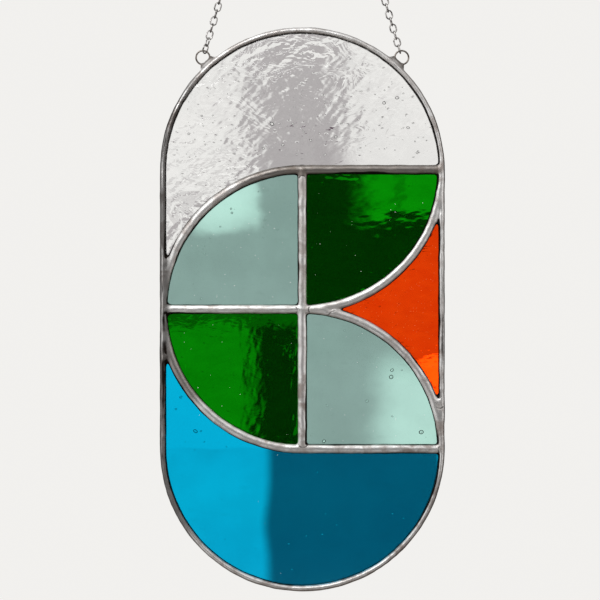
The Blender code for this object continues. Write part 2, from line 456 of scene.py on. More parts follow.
class Wiring:
    """Places shader nodes in a tree and links them."""

    def __init__(self, tree: bpy.types.NodeTree) -> None:
        """Takes the tree to work in."""
        self.tree = tree

    def add(self, kind: str, **settings: object) -> bpy.types.Node:
        """Adds a node.

        Args:
            kind: the node's type without its ShaderNode prefix, or its full type.
            settings: its properties.

        Returns:
            The node.
        """
        full = kind if kind.startswith("NodeGroup") else "ShaderNode" + kind
        node = self.tree.nodes.new(full)
        for setting, value in settings.items():
            setattr(node, setting, value)
        return node

    def put(self, socket: Socket, value: object) -> None:
        """Links an input from another socket, or sets it to a value.

        Args:
            socket: the input to fill.
            value: a socket to link from, a number, a vector or a colour.
        """
        if isinstance(value, Socket):
            self.tree.links.new(value, socket)
        elif socket.type == "RGBA":
            socket.default_value = (*value[:3], 1.0)
        else:
            socket.default_value = value

    def feed(self, node: bpy.types.Node, **values: object) -> bpy.types.Node:
        """Fills a node's inputs by their names, with _ for a space.

        Args:
            node: the node to feed.
            values: what goes into each input.

        Returns:
            The same node.
        """
        for name, value in values.items():
            self.put(node.inputs[name.replace("_", " ")], value)
        return node

    def math(self, operation: str, first: object, second: object = 0.0) -> Socket:
        """Places a Math node, which isn't clamped.

        Args:
            operation: the node's operation.
            first: its first value.
            second: its second value, where the operation has one.

        Returns:
            Its result.
        """
        node = self.add("Math", operation=operation)
        self.put(node.inputs[0], first)
        self.put(node.inputs[1], second)
        return node.outputs[0]

    def times(self, *values: object) -> Socket:
        """The product of two or more values."""
        return reduce(partial(self.math, "MULTIPLY"), values)

    def plus(self, *values: object) -> Socket:
        """The sum of two or more values."""
        return reduce(partial(self.math, "ADD"), values)

    def most(self, *values: object) -> Socket:
        """The greatest of two or more values."""
        return reduce(partial(self.math, "MAXIMUM"), values)

    def less(self, first: object, second: object) -> Socket:
        """The first value less the second."""
        return self.math("SUBTRACT", first, second)

    def size(self, value: object) -> Socket:
        """A value without its sign."""
        return self.math("ABSOLUTE", value)

    def distance(self, aside: object, above: object) -> Socket:
        """How far a point is from the middle that its two offsets are taken from."""
        return self.math("SQRT", self.plus(self.math("POWER", aside, 2.0), self.math("POWER", above, 2.0)))

    def along(self, direction: Socket, way: Place) -> Socket:
        """How far a direction points along a way.

        Args:
            direction: the direction, of length 1.
            way: the way, of length 1.

        Returns:
            From -1 for the other way to 1 for the same way.
        """
        node = self.add("VectorMath", operation="DOT_PRODUCT")
        self.put(node.inputs[0], direction)
        self.put(node.inputs[1], way)
        return node.outputs["Value"]

    def fade(self, value: object, low: float, high: float, start: float = 0.0, end: float = 1.0) -> Socket:
        """A smooth change from start to end as a value goes from low to high.

        Args:
            value: the value that it follows.
            low: where the change starts.
            high: where it ends.
            start: what is put out up to there.
            end: what is put out from there on.

        Returns:
            The changing value.
        """
        node = self.add("MapRange", interpolation_type="SMOOTHSTEP")
        self.feed(node, Value=value, From_Min=low, From_Max=high, To_Min=start, To_Max=end)
        return node.outputs[0]

    def fall(self, value: object, low: float, high: float) -> Socket:
        """A smooth fall from 1 to 0 as a value goes from low to high."""
        return self.fade(value, low, high, 1.0, 0.0)

    def noise(self, vector: object, scale: object, detail: float = 2.0, distortion: object = 0.0) -> Socket:
        """Places a Noise Texture.

        Args:
            vector: where it is read.
            scale: how fine it is.
            detail: how much finer noise rides on it.
            distortion: how much it winds.

        Returns:
            The noise, from 0 to 1.
        """
        node = self.add("TexNoise")
        self.feed(node, Vector=vector, Scale=scale, Detail=detail, Distortion=distortion)
        return node.outputs["Fac"]

    def mix(self, share: object, first: object, second: object) -> Socket:
        """Mixes two colours.

        Args:
            share: how much of the second colour there is.
            first: the first colour.
            second: the second colour.

        Returns:
            The mixed colour.
        """
        node = self.add("Mix", data_type="RGBA")
        for number, value in ((0, share), (6, first), (7, second)):
            self.put(node.inputs[number], value)
        return node.outputs[2]

    def blend(self, share: object, first: object, second: object) -> Socket:
        """Mixes two plain values.

        Args:
            share: how much of the second value there is.
            first: the first value.
            second: the second value.

        Returns:
            The mixed value.
        """
        node = self.add("Mix", data_type="FLOAT")
        for number, value in ((0, share), (2, first), (3, second)):
            self.put(node.inputs[number], value)
        return node.outputs[0]

    def split(self, vector: Socket) -> bpy.types.NodeOutputs:
        """A vector's X, Y and Z."""
        return self.feed(self.add("SeparateXYZ"), Vector=vector).outputs

    def place(self, lean: float = 0.0, stretch: Place = (1.0, 1.0, 1.0)) -> Socket:
        """Object coordinates, turned in the panel's plane and stretched.

        Args:
            lean: how far their first axis leans up from X, in degrees.
            stretch: what each axis is multiplied by.

        Returns:
            The coordinates.
        """
        turn = (0, math.radians(lean), 0)
        coordinates = self.add("TexCoord").outputs["Object"]
        return self.feed(self.add("Mapping"), Vector=coordinates, Rotation=turn, Scale=stretch).outputs[0]


def shader_group(
    name: str, inputs: dict[str, float | None], outputs: tuple[str, ...]
) -> tuple[bpy.types.NodeTree, Wiring, Sockets, Sockets]:
    """Starts a shader node group that puts out plain values.

    Args:
        name: the group's name.
        inputs: each input's name with its first value, or None for a vector.
        outputs: each output's name.

    Returns:
        The group, its wiring, its input sockets and its output sockets by name.
    """
    tree = bpy.data.node_groups.new(name, "ShaderNodeTree")
    for label, value in inputs.items():
        kind = "NodeSocketVector" if value is None else "NodeSocketFloat"
        socket = tree.interface.new_socket(label, in_out="INPUT", socket_type=kind)
        if value is not None:
            socket.default_value = value
    for label in outputs:
        tree.interface.new_socket(label, in_out="OUTPUT", socket_type="NodeSocketFloat")
    wiring = Wiring(tree)
    given = {socket.name: socket for socket in wiring.add("NodeGroupInput").outputs if socket.name}
    out = {socket.name: socket for socket in wiring.add("NodeGroupOutput").inputs if socket.name}
    return tree, wiring, given, out


class Effects:
    """The effects that several finishes share, each a node group that is built once."""

    def __init__(self) -> None:
        """Builds the groups."""
        self.ripple = self._ripple()
        self.film = self._film()
        self.tarnish = self._tarnish()

    def _ripple(self) -> bpy.types.NodeTree:
        """Fine rolled ripples and pits of a glass sheet, as a height.

        Returns:
            The group.
        """
        tree, w, given, out = shader_group(
            "sheet_ripple",
            {"Vector": None, "Fineness": 100.0, "Wander": 1.0, "Pits": 0.3},
            ("Height", "Streak", "Dots"),
        )
        vector, fineness = given["Vector"], given["Fineness"]
        waves = w.noise(vector, fineness, 3.0, given["Wander"])
        ridge = w.less(1.0, w.size(w.less(w.times(waves, 2.0), 1.0)))
        finer = w.noise(vector, w.times(fineness, 3.1), 2.0)
        pits = w.add("TexVoronoi", feature="F1")
        w.feed(pits, Vector=vector, Scale=w.times(fineness, 4.5))
        drawn = w.feed(w.add("SeparateColor"), Color=pits.outputs["Color"]).outputs["Red"]
        dots = w.times(w.fall(pits.outputs["Distance"], 0.06, 0.20), w.fade(drawn, 0.70, 0.72))
        height = w.plus(w.times(ridge, 0.7), w.times(finer, 0.3))
        w.put(out["Height"], w.less(height, w.times(dots, given["Pits"])))
        w.put(out["Streak"], waves)
        w.put(out["Dots"], dots)
        return tree

    def _film(self) -> bpy.types.NodeTree:
        """The thin film that handling and dust leave on glass, as a mask.

        Returns:
            The group.
        """
        tree, w, given, out = shader_group("handling_film", {"Vector": None, "Amount": 0.5}, ("Mask",))
        patches = w.fade(w.noise(given["Vector"], 38.0, 4.0, 0.6), 0.45, 0.75)
        specks = w.fade(w.noise(given["Vector"], 900.0, 1.0), 0.66, 0.74)
        w.put(out["Mask"], w.times(w.plus(w.times(patches, 0.6), w.times(specks, 0.4)), given["Amount"]))
        return tree

    def _tarnish(self) -> bpy.types.NodeTree:
        """Where metal has dulled, as a mask, and its fine unevenness, as a height.

        Returns:
            The group.
        """
        tree, w, given, out = shader_group(
            "tarnish", {"Vector": None, "Size": 120.0, "Amount": 0.5}, ("Mask", "Height")
        )
        clouds = w.noise(given["Vector"], given["Size"], 5.0, 0.8)
        grain = w.noise(given["Vector"], w.times(given["Size"], 14.0), 2.0)
        dulled = w.fade(w.plus(clouds, w.times(grain, 0.15)), 0.42, 0.78)
        w.put(out["Mask"], w.times(dulled, given["Amount"]))
        w.put(out["Height"], w.plus(w.times(clouds, 0.6), w.times(grain, 0.4)))
        return tree


def start_material(name: str) -> tuple[bpy.types.Material, Wiring, bpy.types.Node]:
    """Starts a material.

    Args:
        name: the material's name.

    Returns:
        The material, its wiring and its Principled shader.
    """
    material = bpy.data.materials.new(name)
    material.use_nodes = True
    return material, Wiring(material.node_tree), material.node_tree.nodes["Principled BSDF"]


def use_group(w: Wiring, group: bpy.types.NodeTree, **values: object) -> bpy.types.Node:
    """Places a shared effect in a material with its own values."""
    return w.feed(w.add("Group", node_tree=group), **values)


@dataclass(frozen=True)
class GlassFinish:
    """A sheet of coloured glass.

    Args:
        slot: the record's slot.
        tint: the colour that it lets through.
        deep: the same where the sheet is a little thicker.
        fineness: how close its fine ripples are.
        relief: how high they are.
        wander: how much they wind.
        lean: how far they lean up from X, in degrees.
        pits: how deep its pits are, and how far they are darkened as painted shade.
        film: how much dust and handling show.
        calmed: True where the ripples are calm just above the level top seam.
        speck: the colour of the specks in and on it, which are partly painted glints.
    """

    slot: str
    tint: Colour
    deep: Colour
    fineness: float = 60.0
    relief: float = 0.00002
    wander: float = 0.6
    lean: float = 20.0
    pits: float = 0.1
    film: float = 0.3
    calmed: bool = False
    speck: Colour = (0.86, 0.88, 0.86)

    @property
    def name(self) -> str:
        """The material's name, its own for each lean of the ripples."""
        return f"{self.slot}_look_{self.lean:.0f}"

    def material(self, effects: Effects) -> bpy.types.Material:
        """The glass's material.

        Args:
            effects: the shared node groups.

        Returns:
            The material.
        """
        made, w, shader = start_material(self.name)
        vector = w.place(self.lean, (0.45, 1.0, 1.0))
        ripple = use_group(w, effects.ripple, Vector=vector, Fineness=self.fineness)
        w.feed(ripple, Wander=self.wander, Pits=self.pits)
        film = use_group(w, effects.film, Vector=w.place(), Amount=self.film)
        shader.inputs["Transmission Weight"].default_value = 1.0
        shader.inputs["IOR"].default_value = 1.5
        sheet = w.mix(w.fade(ripple.outputs["Streak"], 0.3, 0.7), self.tint, self.deep)
        # Painted shade: the pits' colour darkens towards a third of the tint.
        pit_shade = tuple(0.3 * share for share in self.tint)
        w.feed(shader, Base_Color=w.mix(w.times(ripple.outputs["Dots"], self.pits), sheet, pit_shade))
        w.feed(shader, Roughness=w.times(film.outputs["Mask"], 0.12))
        height = ripple.outputs["Height"]
        if self.calmed:
            height = w.times(height, self._calm(w))
        bump = w.feed(w.add("Bump"), Height=height, Distance=self.relief, Strength=1.0)
        w.feed(shader, Normal=bump.outputs[0])
        return made

    def _calm(self, w: Wiring) -> Socket:
        """The strength of the fine ripples, as PanelPlan.calm gives it for the wide ones.

        Args:
            w: the wiring to place the nodes with.

        Returns:
            The strength, from PanelPlan's calm_floor to 1.
        """
        place = w.split(w.place())
        start = PLAN.middle().z + PLAN.radius + PLAN.calm_up
        above = w.fade(place["Z"], start, start + PLAN.calm_rise)
        beside = w.fade(place["X"], PLAN.calm_left, PLAN.calm_left - PLAN.calm_run)
        return w.most(above, beside, PLAN.calm_floor)


@dataclass(frozen=True)
class BubbleFinish:
    """The air in a bubble, which adds no colour to the glass round it.

    Args:
        slot: the record's slot of the glass.
    """

    slot: str

    @property
    def name(self) -> str:
        """The material's name."""
        return self.slot + "_bubble_look"

    def material(self, effects: Effects) -> bpy.types.Material:
        """The bubble's material, with a film of fine haze on its wall and a painted dark outline where the
        wall is seen edge-on.

        Args:
            effects: the shared node groups.

        Returns:
            The material.
        """
        made, w, shader = start_material(self.name)
        shader.inputs["Transmission Weight"].default_value = 1.0
        shader.inputs["IOR"].default_value = 1.4
        film = use_group(w, effects.film, Vector=w.place(), Amount=0.5)
        # Painted shade: the bubble's wall goes nearly black where it is seen edge-on.
        edge = w.fade(w.feed(w.add("LayerWeight"), Blend=0.5).outputs["Facing"], 0.07, 0.28)
        wall = w.mix(film.outputs["Mask"], (1.0, 1.0, 1.0), (0.93, 0.95, 0.94))
        w.feed(shader, Base_Color=w.mix(edge, wall, (0.03, 0.03, 0.03)))
        w.feed(shader, Roughness=w.times(film.outputs["Mask"], 0.1))
        return made


@dataclass(frozen=True)
class SpeckAndGlintFinish:
    """Pale specks on the glass, partly specks of dust and of batch that never melted and partly painted
    glints.

    Args:
        slot: the record's slot of the glass.
        pale: their colour.
    """

    slot: str
    pale: Colour

    @property
    def name(self) -> str:
        """The material's name."""
        return self.slot + "_speck_and_glint_look"

    def material(self, effects: Effects) -> bpy.types.Material:
        """The material of the pale specks, which are partly painted glints.

        Args:
            effects: the shared node groups.

        Returns:
            The material.
        """
        made, w, shader = start_material(self.name)
        film = use_group(w, effects.film, Vector=w.place(), Amount=1.0)
        grey = tuple(0.64 * share for share in self.pale)
        w.feed(shader, Base_Color=w.mix(film.outputs["Mask"], self.pale, grey))
        w.feed(shader, Roughness=w.plus(0.3, w.times(film.outputs["Mask"], 0.3)))
        return made


@dataclass(frozen=True)
class Crease:
    """A thin dark line where one bead of solder ends on another, as part of a circle: flux and painted shade
    in the crease.

    Args:
        right: how far the circle's middle is to the right of the panel's middle.
        up: how far it is above the panel's middle.
        radius: the circle's radius.
        facing: where the middle of the line is on the circle, in degrees from the right, turning up.
        half_span: how far it goes round to each side, in degrees.
        line: how far from its own middle it starts and ends to fade.
    """

    right: float
    up: float
    radius: float
    facing: float
    half_span: float = 60.0
    line: tuple[float, float] = (0.00005, 0.00045)

    def mask(self, w: Wiring, across: object, over: object) -> Socket:
        """Where the crease lies.

        Args:
            w: the wiring to place the nodes with.
            across: how far a point is to the right of the panel's middle.
            over: how far it is above the panel's middle.

        Returns:
            The mask, 1 in the crease.
        """
        aside = w.less(across, self.right)
        above = w.less(over, self.up)
        reach = w.most(w.distance(aside, above), 0.00001)
        line = w.fall(w.size(w.less(reach, self.radius)), *self.line)
        turn = math.radians(self.facing)
        along = w.plus(w.times(aside, math.cos(turn)), w.times(above, math.sin(turn)))
        limit = math.cos(math.radians(self.half_span))
        return w.times(line, w.fade(w.math("DIVIDE", along, reach), limit - 0.1, limit + 0.15))


@dataclass(frozen=True)
class SolderFinish:
    """Tin and lead solder, bright where it flowed and brown-grey where flux and air dulled it, with painted
    shade, a painted highlight and painted dark reflection.

    Args:
        bright: its colour where it is clean.
        dull: its colour where it is dulled.
        dark_reflection: its colour where dark reflection is painted: along the top seam, on the mounds and in
            a few spots.
        foot: its colour beside the glass, where the foil's edge and old flux show, with the painted shade of
            the bead on the glass.
        foot_depth: how far from the glass's middle the foot ends, in metres.
        rim_foot: how much further it goes on the rim's left and right, as painted shade.
        stray: how far the foot's edge strays in all.
        under: how much further it goes on a bead's underside, and less on its upper side, as painted shade.
        beside: the same to the left of the upright seam's upper half and to the right of its lower half, as
            painted shade.
        dark_spots: the middles of further spots of painted dark reflection, right and up from the panel's
            middle, and their reach.
        creases: where beads end on each other, with flux and painted shade.
        roughness: how rough it is where it is clean.
        rougher: how much rougher it is where it is dulled, and where it is dark.
        dark_reflection_share: how far the painted dark reflection goes towards its colour.
        flank: how far aside the rim's flanks begin, as a fade's start and end.
        crest: how far the rim's crest, where a painted highlight line runs, is from its outer side.
        edge: how deep the painted dark edge outside of it is.
        inside: where the rim's bead begins, in from its outer side, as a fade's start and end.
        foot_inside: the same for the rim's wider foot.
        seam_inside: the same for the end of the top seam's painted dark reflection.
        seam_half: where that seam ends above and below its middle, likewise.
        mound_outside: where the mounds' painted dark reflection begins, out from the rim's outer side,
            likewise.
        left: from where to where the rim darkens towards the left, as painted shade.
        left_end: the same for the ends of the seams that run into it.
        left_dark: how dark the painted shade is there.
        edge_dark: how dark the painted shade on the outer edge is.
    """

    bright: Colour = (0.76, 0.75, 0.735)
    dull: Colour = (0.33, 0.285, 0.26)
    dark_reflection: Colour = (0.12, 0.094, 0.075)
    foot: Colour = (0.016, 0.012, 0.010)
    foot_depth: float = 0.00206
    rim_foot: float = 0.0004
    stray: float = 0.0020
    under: float = 0.00024
    beside: float = 0.0003
    dark_spots: tuple[Place, ...] = ((-0.0177, 0.0577, 0.0150), (-0.0537, -0.0289, 0.0170))
    creases: tuple[Crease, ...] = (
        Crease(-0.0037, -0.0005, 0.0016, 0),
        Crease(0.0043, -0.0001, 0.0016, 180),
        Crease(0.0148, -0.0047, 0.0040, 130, 36),
        Crease(0.0003, -0.0583, 0.0022, 270, 75),
        Crease(0.0001, 0.0564, 0.0020, 90),
        Crease(-0.0590, -0.0007, 0.0018, 180),
        Crease(0.0601, -0.0416, 0.0018, 270),
        Crease(0.0614, -0.0614, 0.0019, 180, 50),
    )
    roughness: float = 0.31
    rougher: tuple[float, float] = (0.16, 0.25)
    dark_reflection_share: float = 0.78
    flank: tuple[float, float] = (0.045, 0.058)
    crest: float = 0.0012
    edge: float = 0.0006
    inside: tuple[float, float] = (0.0036, 0.0028)
    foot_inside: tuple[float, float] = (0.0038, 0.0030)
    seam_inside: tuple[float, float] = (0.0034, 0.0026)
    seam_half: tuple[float, float] = (0.0024, 0.0036)
    mound_outside: tuple[float, float] = (0.0002, 0.0008)
    left: tuple[float, float] = (-0.038, -0.055)
    left_end: tuple[float, float] = (-0.0565, -0.0597)
    left_dark: float = 0.75
    edge_dark: float = 0.9

    def material(self, effects: Effects) -> bpy.types.Material:
        """The solder's material.

        Args:
            effects: the shared node groups.

        Returns:
            The material.
        """
        made, w, shader = start_material("solder_look")
        coordinates = w.place()
        spread = w.fade(w.noise(coordinates, 14.0, 1.0), 0.38, 0.62, 0.45, 1.0)
        tarnish = use_group(w, effects.tarnish, Vector=coordinates, Size=170.0, Amount=spread)
        place = w.split(coordinates)
        across, depth = place["X"], w.size(place["Y"])
        over = w.less(place["Z"], PLAN.middle().z)
        reach = w.distance(across, w.most(w.less(w.size(over), PLAN.radius), 0.0))
        flank = w.fade(w.size(across), *self.flank)
        inner = w.fall(reach, PLAN.outer - self.crest, PLAN.outer - self.edge)
        foot = w.times(self._near_glass(w, across, over, depth, flank, reach), inner)
        # Flux and painted shade darken the creases where beads end on each other.
        crease = w.most(0.0, *(line.mask(w, across, over) for line in self.creases))
        broken = w.times(crease, w.fade(w.noise(coordinates, 700.0, 1.0), 0.35, 0.6, 0.3, 0.85))
        dark = w.most(foot, broken, self._dark_rim(w, across, flank, reach))
        body = w.mix(tarnish.outputs["Mask"], self.bright, self.dull)
        # Painted dark reflection: along the top seam, on the mounds and in a few spots.
        body = w.mix(w.times(self._painted_dark_reflection(w, across, over, reach), self.dark_reflection_share), body, self.dark_reflection)
        w.feed(shader, Base_Color=w.mix(dark, body, self.foot), Metallic=1.0)
        dulled, darkened = self.rougher
        rough = w.plus(self.roughness, w.times(tarnish.outputs["Mask"], dulled))
        w.feed(shader, Roughness=w.plus(rough, w.times(dark, darkened)))
        height = w.less(tarnish.outputs["Height"], w.times(crease, 1.5))
        bump = w.feed(w.add("Bump"), Height=height, Distance=0.00006, Strength=0.6)
        w.feed(shader, Normal=bump.outputs[0])
        return made

    def _dark_rim(self, w: Wiring, across: object, flank: object, reach: object) -> Socket:
        """Painted shade on the rim: its dark outer edge on the left and right, and its dark left side but for
        a painted highlight along the crest.

        Args:
            w: the wiring to place the nodes with.
            across: how far a point is to the right of the panel's middle.
            flank: 1 on the panel's left and right flanks.
            reach: how far it is from the line between the caps' middles.

        Returns:
            The mask, 1 where it is dark.
        """
        edge = w.fade(reach, PLAN.outer - self.edge, PLAN.outer - self.edge / 2)
        crest = w.fall(w.size(w.less(reach, PLAN.outer - self.crest)), 0.00012, 0.0004)
        # Painted highlight: a thin, patchy line along the rim's crest is left bright in the painted shade.
        wear_and_highlight = w.times(crest, w.fade(w.noise(w.place(), 45.0, 2.0), 0.38, 0.5))
        on_rim = w.fade(reach, *(PLAN.outer - inset for inset in self.inside))
        left = w.most(w.fade(across, *self.left_end), w.times(w.fade(across, *self.left), on_rim))
        left = w.times(left, w.less(self.left_dark, w.times(wear_and_highlight, self.left_dark)))
        return w.most(left, w.times(edge, flank, self.edge_dark))

    def _near_glass(
        self, w: Wiring, across: object, over: object, depth: object, flank: object, reach: object
    ) -> Socket:
        """The foot of each bead, where the foil's edge and flux show with painted shade, wider on the rim's
        flanks and below as more painted shade, its edge straying by itself.

        Args:
            w: the wiring to place the nodes with.
            across: how far a point is to the right of the panel's middle.
            over: how far it is above the panel's middle.
            depth: how far it is from the glass's middle plane.
            flank: 1 on the panel's left and right flanks.
            reach: how far it is from the line between the caps' middles.

        Returns:
            The mask, 1 in the foot.
        """
        coordinates = w.add("TexCoord").outputs
        facing = w.split(coordinates["Normal"])
        apart = w.add("VectorMath", operation="MULTIPLY_ADD")
        terms = (coordinates["Normal"], (0.03, 0.0, 0.03), coordinates["Object"])
        for socket, value in zip(apart.inputs, terms):
            w.put(socket, value)
        stray = w.times(w.less(w.noise(apart.outputs[0], 22.0, 2.0), 0.5), self.stray)
        start, end = (PLAN.outer - inset for inset in self.foot_inside)
        rim = w.times(w.fade(reach, start, end, 0.0, self.rim_foot), flank)
        # Painted shade: the foot widens on one side of the upright seam and on a bead's underside.
        upright = w.fade(w.size(across), 0.003, 0.004, self.beside, 0.0)
        aside = w.times(facing["X"], w.fade(over, -0.002, 0.002, 1.0, -1.0), upright)
        below = w.times(facing["Z"], -self.under)
        limit = w.plus(self.foot_depth, stray, rim, aside, below)
        return w.fall(w.less(depth, limit), -0.0002, 0.0001)

    def _painted_dark_reflection(self, w: Wiring, across: object, over: object, reach: object) -> Socket:
        """Where dark reflection is painted on the solder: the top seam, the mounds outside the rim, and a few
        spots.

        Args:
            w: the wiring to place the nodes with.
            across: how far a point is to the right of the panel's middle.
            over: how far it is above the panel's middle.
            reach: how far it is from the line between the caps' middles.

        Returns:
            The mask, 1 where the painted dark reflection is deepest.
        """
        over_top = w.size(w.less(over, PLAN.radius))
        inside = w.fall(reach, *(PLAN.outer - inset for inset in self.seam_inside))
        top_seam = w.times(w.fall(over_top, *self.seam_half), inside)
        start, end = (PLAN.outer + out for out in self.mound_outside)
        dark_reflection = w.most(top_seam, w.fade(reach, start, end, 0.0, 0.8))
        for right, up, far in self.dark_spots:
            off = w.distance(w.less(across, right), w.less(over, up))
            dark_reflection = w.most(dark_reflection, w.fade(off, far * 0.5, far, 0.85, 0.0))
        return dark_reflection


@dataclass(frozen=True)
class WireFinish:
    """Drawn wire with a worn bright plating.

    Args:
        name: what it is for.
        bright: its colour where the plating is whole.
        dull: its colour where it is worn.
        roughness: how rough the whole plating is.
        size: how close the worn places are.
    """

    name: str
    bright: Colour
    dull: Colour
    roughness: float
    size: float = 420.0

    def material(self, effects: Effects) -> bpy.types.Material:
        """The wire's material.

        Args:
            effects: the shared node groups.

        Returns:
            The material.
        """
        made, w, shader = start_material(self.name + "_wire_look")
        tarnish = use_group(w, effects.tarnish, Vector=w.place(), Size=self.size, Amount=1.0)
        wear_and_highlight = tarnish.outputs["Mask"]
        w.feed(shader, Base_Color=w.mix(wear_and_highlight, self.bright, self.dull), Metallic=1.0)
        w.feed(shader, Roughness=w.plus(self.roughness, w.times(wear_and_highlight, 0.2)))
        bump = w.feed(w.add("Bump"), Height=tarnish.outputs["Height"], Distance=0.00002, Strength=0.5)
        w.feed(shader, Normal=bump.outputs[0])
        return made


# Pieces


@dataclass
class GlassPane:
    """One pane of glass: its node's own outline, closed, with a rippled front and back.

    Args:
        node: the CAD node that it stands for.
        finish: what glass it is.
        voxel: how fine its mesh is.
        swells: the rises and falls of its faces, the widest first.
        seeds: how many small bubbles are in it.
        rings: the places of larger bubbles, right and up from the panel's middle, and their width.
        specks_and_glints: how many pale specks, partly painted glints, are on its front.
        ring_front: how far in front of the sheet's middle the larger bubbles are.
        seed_width: the least and greatest width of a small bubble.
        speck_glint_width: the same for a speck.
        drop_shape: how long, deep and high a bubble or speck is for its width.
        drawn_out: how many times longer and higher it gets at most.
        drop_turn: how far one is turned at most, in radians.
    """

    node: str
    finish: GlassFinish
    voxel: float = 0.0008
    swells: tuple[Swell, ...] = ()
    seeds: int = 8
    rings: tuple[Place, ...] = ()
    specks_and_glints: int = 5
    ring_front: float = 0.0004
    seed_width: tuple[float, float] = (0.00022, 0.00072)
    speck_glint_width: tuple[float, float] = (0.0001, 0.00028)
    drop_shape: Place = (1.0, 0.8, 0.9)
    drawn_out: tuple[float, float] = (1.5, 1.2)
    drop_turn: float = 0.6

    def build(self, effects: Effects) -> None:
        """Builds the pane, its bubbles and its pale specks, which are partly painted glints.

        Args:
            effects: the shared node groups.
        """
        material = bpy.data.materials.get(self.finish.name) or self.finish.material(effects)
        pane = self._sheet()
        finish_piece(pane, material, [self.node])
        draw = random.Random(self.node)
        middle = PLAN.middle()
        front = middle.y - self.ring_front
        drops = [(Vector((middle.x + x, front, middle.z + z)), width) for x, z, width in self.rings]
        least, most = self.seed_width
        for spot in self._spots(pane, draw, self.seeds):
            spot.y = middle.y + draw.uniform(-0.25, 0.25) * PLAN.glass
            drops.append((spot, least + (most - least) * draw.random() ** 2))
        # Pale specks on the front, which are partly painted glints.
        specks = []
        for spot in self._spots(pane, draw, self.specks_and_glints):
            spot.y = middle.y - PLAN.glass / 2
            specks.append((spot, draw.uniform(*self.speck_glint_width)))
        slot = self.finish.slot
        for kind, places, finish in (
            ("bubbles_", drops, BubbleFinish(slot)),
            ("grains_", specks, SpeckAndGlintFinish(slot, self.finish.speck)),
        ):
            material = bpy.data.materials.get(finish.name) or finish.material(effects)
            finish_piece(self._drops(draw, places, kind), material, [])

    def _sheet(self) -> Piece:
        """The pane, from a merged copy of its node.

        Returns:
            The pane.
        """
        name = self.node.replace("pane_", "glass_")
        pane = bpy.data.objects.new(name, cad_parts[self.node].data.copy())
        bpy.context.scene.collection.objects.link(pane)
        edit(pane)
        bpy.ops.mesh.remove_doubles(threshold=0.000001)
        close_edit(name)
        apply_modifier(pane, "REMESH", mode="VOXEL", voxel_size=self.voxel, use_smooth_shade=True)
        if self.finish.calmed:
            self._calm_ripples(pane)
        for swell in self.swells:
            swell.apply(pane, "ripples" if self.finish.calmed else "")
        pane.vertex_groups.clear()
        return pane

    def _calm_ripples(self, pane: Piece) -> None:
        """Weighs the pane's ripples, so that they calm down just above the level top seam.

        Args:
            pane: the pane.
        """
        group = pane.vertex_groups.new(name="ripples")
        for vertex in pane.data.vertices:
            group.add([vertex.index], PLAN.calm(vertex.co.x, vertex.co.z), "REPLACE")

    def _spots(self, pane: Piece, draw: random.Random, count: int) -> list[Vector]:
        """Draws random places in the pane.

        Args:
            pane: the pane.
            draw: the pane's own source of random numbers.
            count: how many places are drawn.

        Returns:
            The places, in the pane's middle plane and well away from the solder.
        """
        spots = []
        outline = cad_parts[self.node].data
        walls = BVHTree.FromPolygons([v.co for v in outline.vertices], [p.vertices for p in outline.polygons])
        vertices = pane.data.vertices
        while len(spots) < count:
            spot = vertices[draw.randrange(len(vertices))].co.copy()
            spot.y = PLAN.middle().y
            if self._clear_of(walls, spot):
                spots.append(spot)
        return spots

    def _drops(self, draw: random.Random, places: list[tuple[Vector, float]], kind: str) -> Piece:
        """Small round bodies that were drawn out a little, joined as one object.

        Args:
            draw: the pane's own source of random numbers.
            places: each one's place and width.
            kind: what they are, as the start of their name.

        Returns:
            The joined object.
        """
        deselect_all()
        bpy.ops.mesh.primitive_ico_sphere_add(subdivisions=2, radius=0.5, enter_editmode=True)
        bpy.ops.transform.resize(value=self.drop_shape)
        drop = close_edit("drop")
        made = []
        for spot, width in places:
            longer, higher = (draw.uniform(1.0, most) for most in self.drawn_out)
            stretch = Matrix.Diagonal((width * longer, width, width * higher, 1.0))
            turn = Matrix.Rotation(draw.uniform(-self.drop_turn, self.drop_turn), 4, "Y")
            made.append(copy_of(drop, Matrix.Translation(spot) @ turn @ stretch))
        bpy.data.objects.remove(drop)
        return join(made, self.node.replace("pane_", kind))

    def _clear_of(self, walls: BVHTree, spot: Vector, margin: float = 0.003) -> bool:
        """True if a spot in the pane is well away from the solder all round."""
        ways = (Vector((math.cos(step * math.pi / 4), 0, math.sin(step * math.pi / 4))) for step in range(8))
        return not any(walls.ray_cast(spot, way, margin)[0] for way in ways)


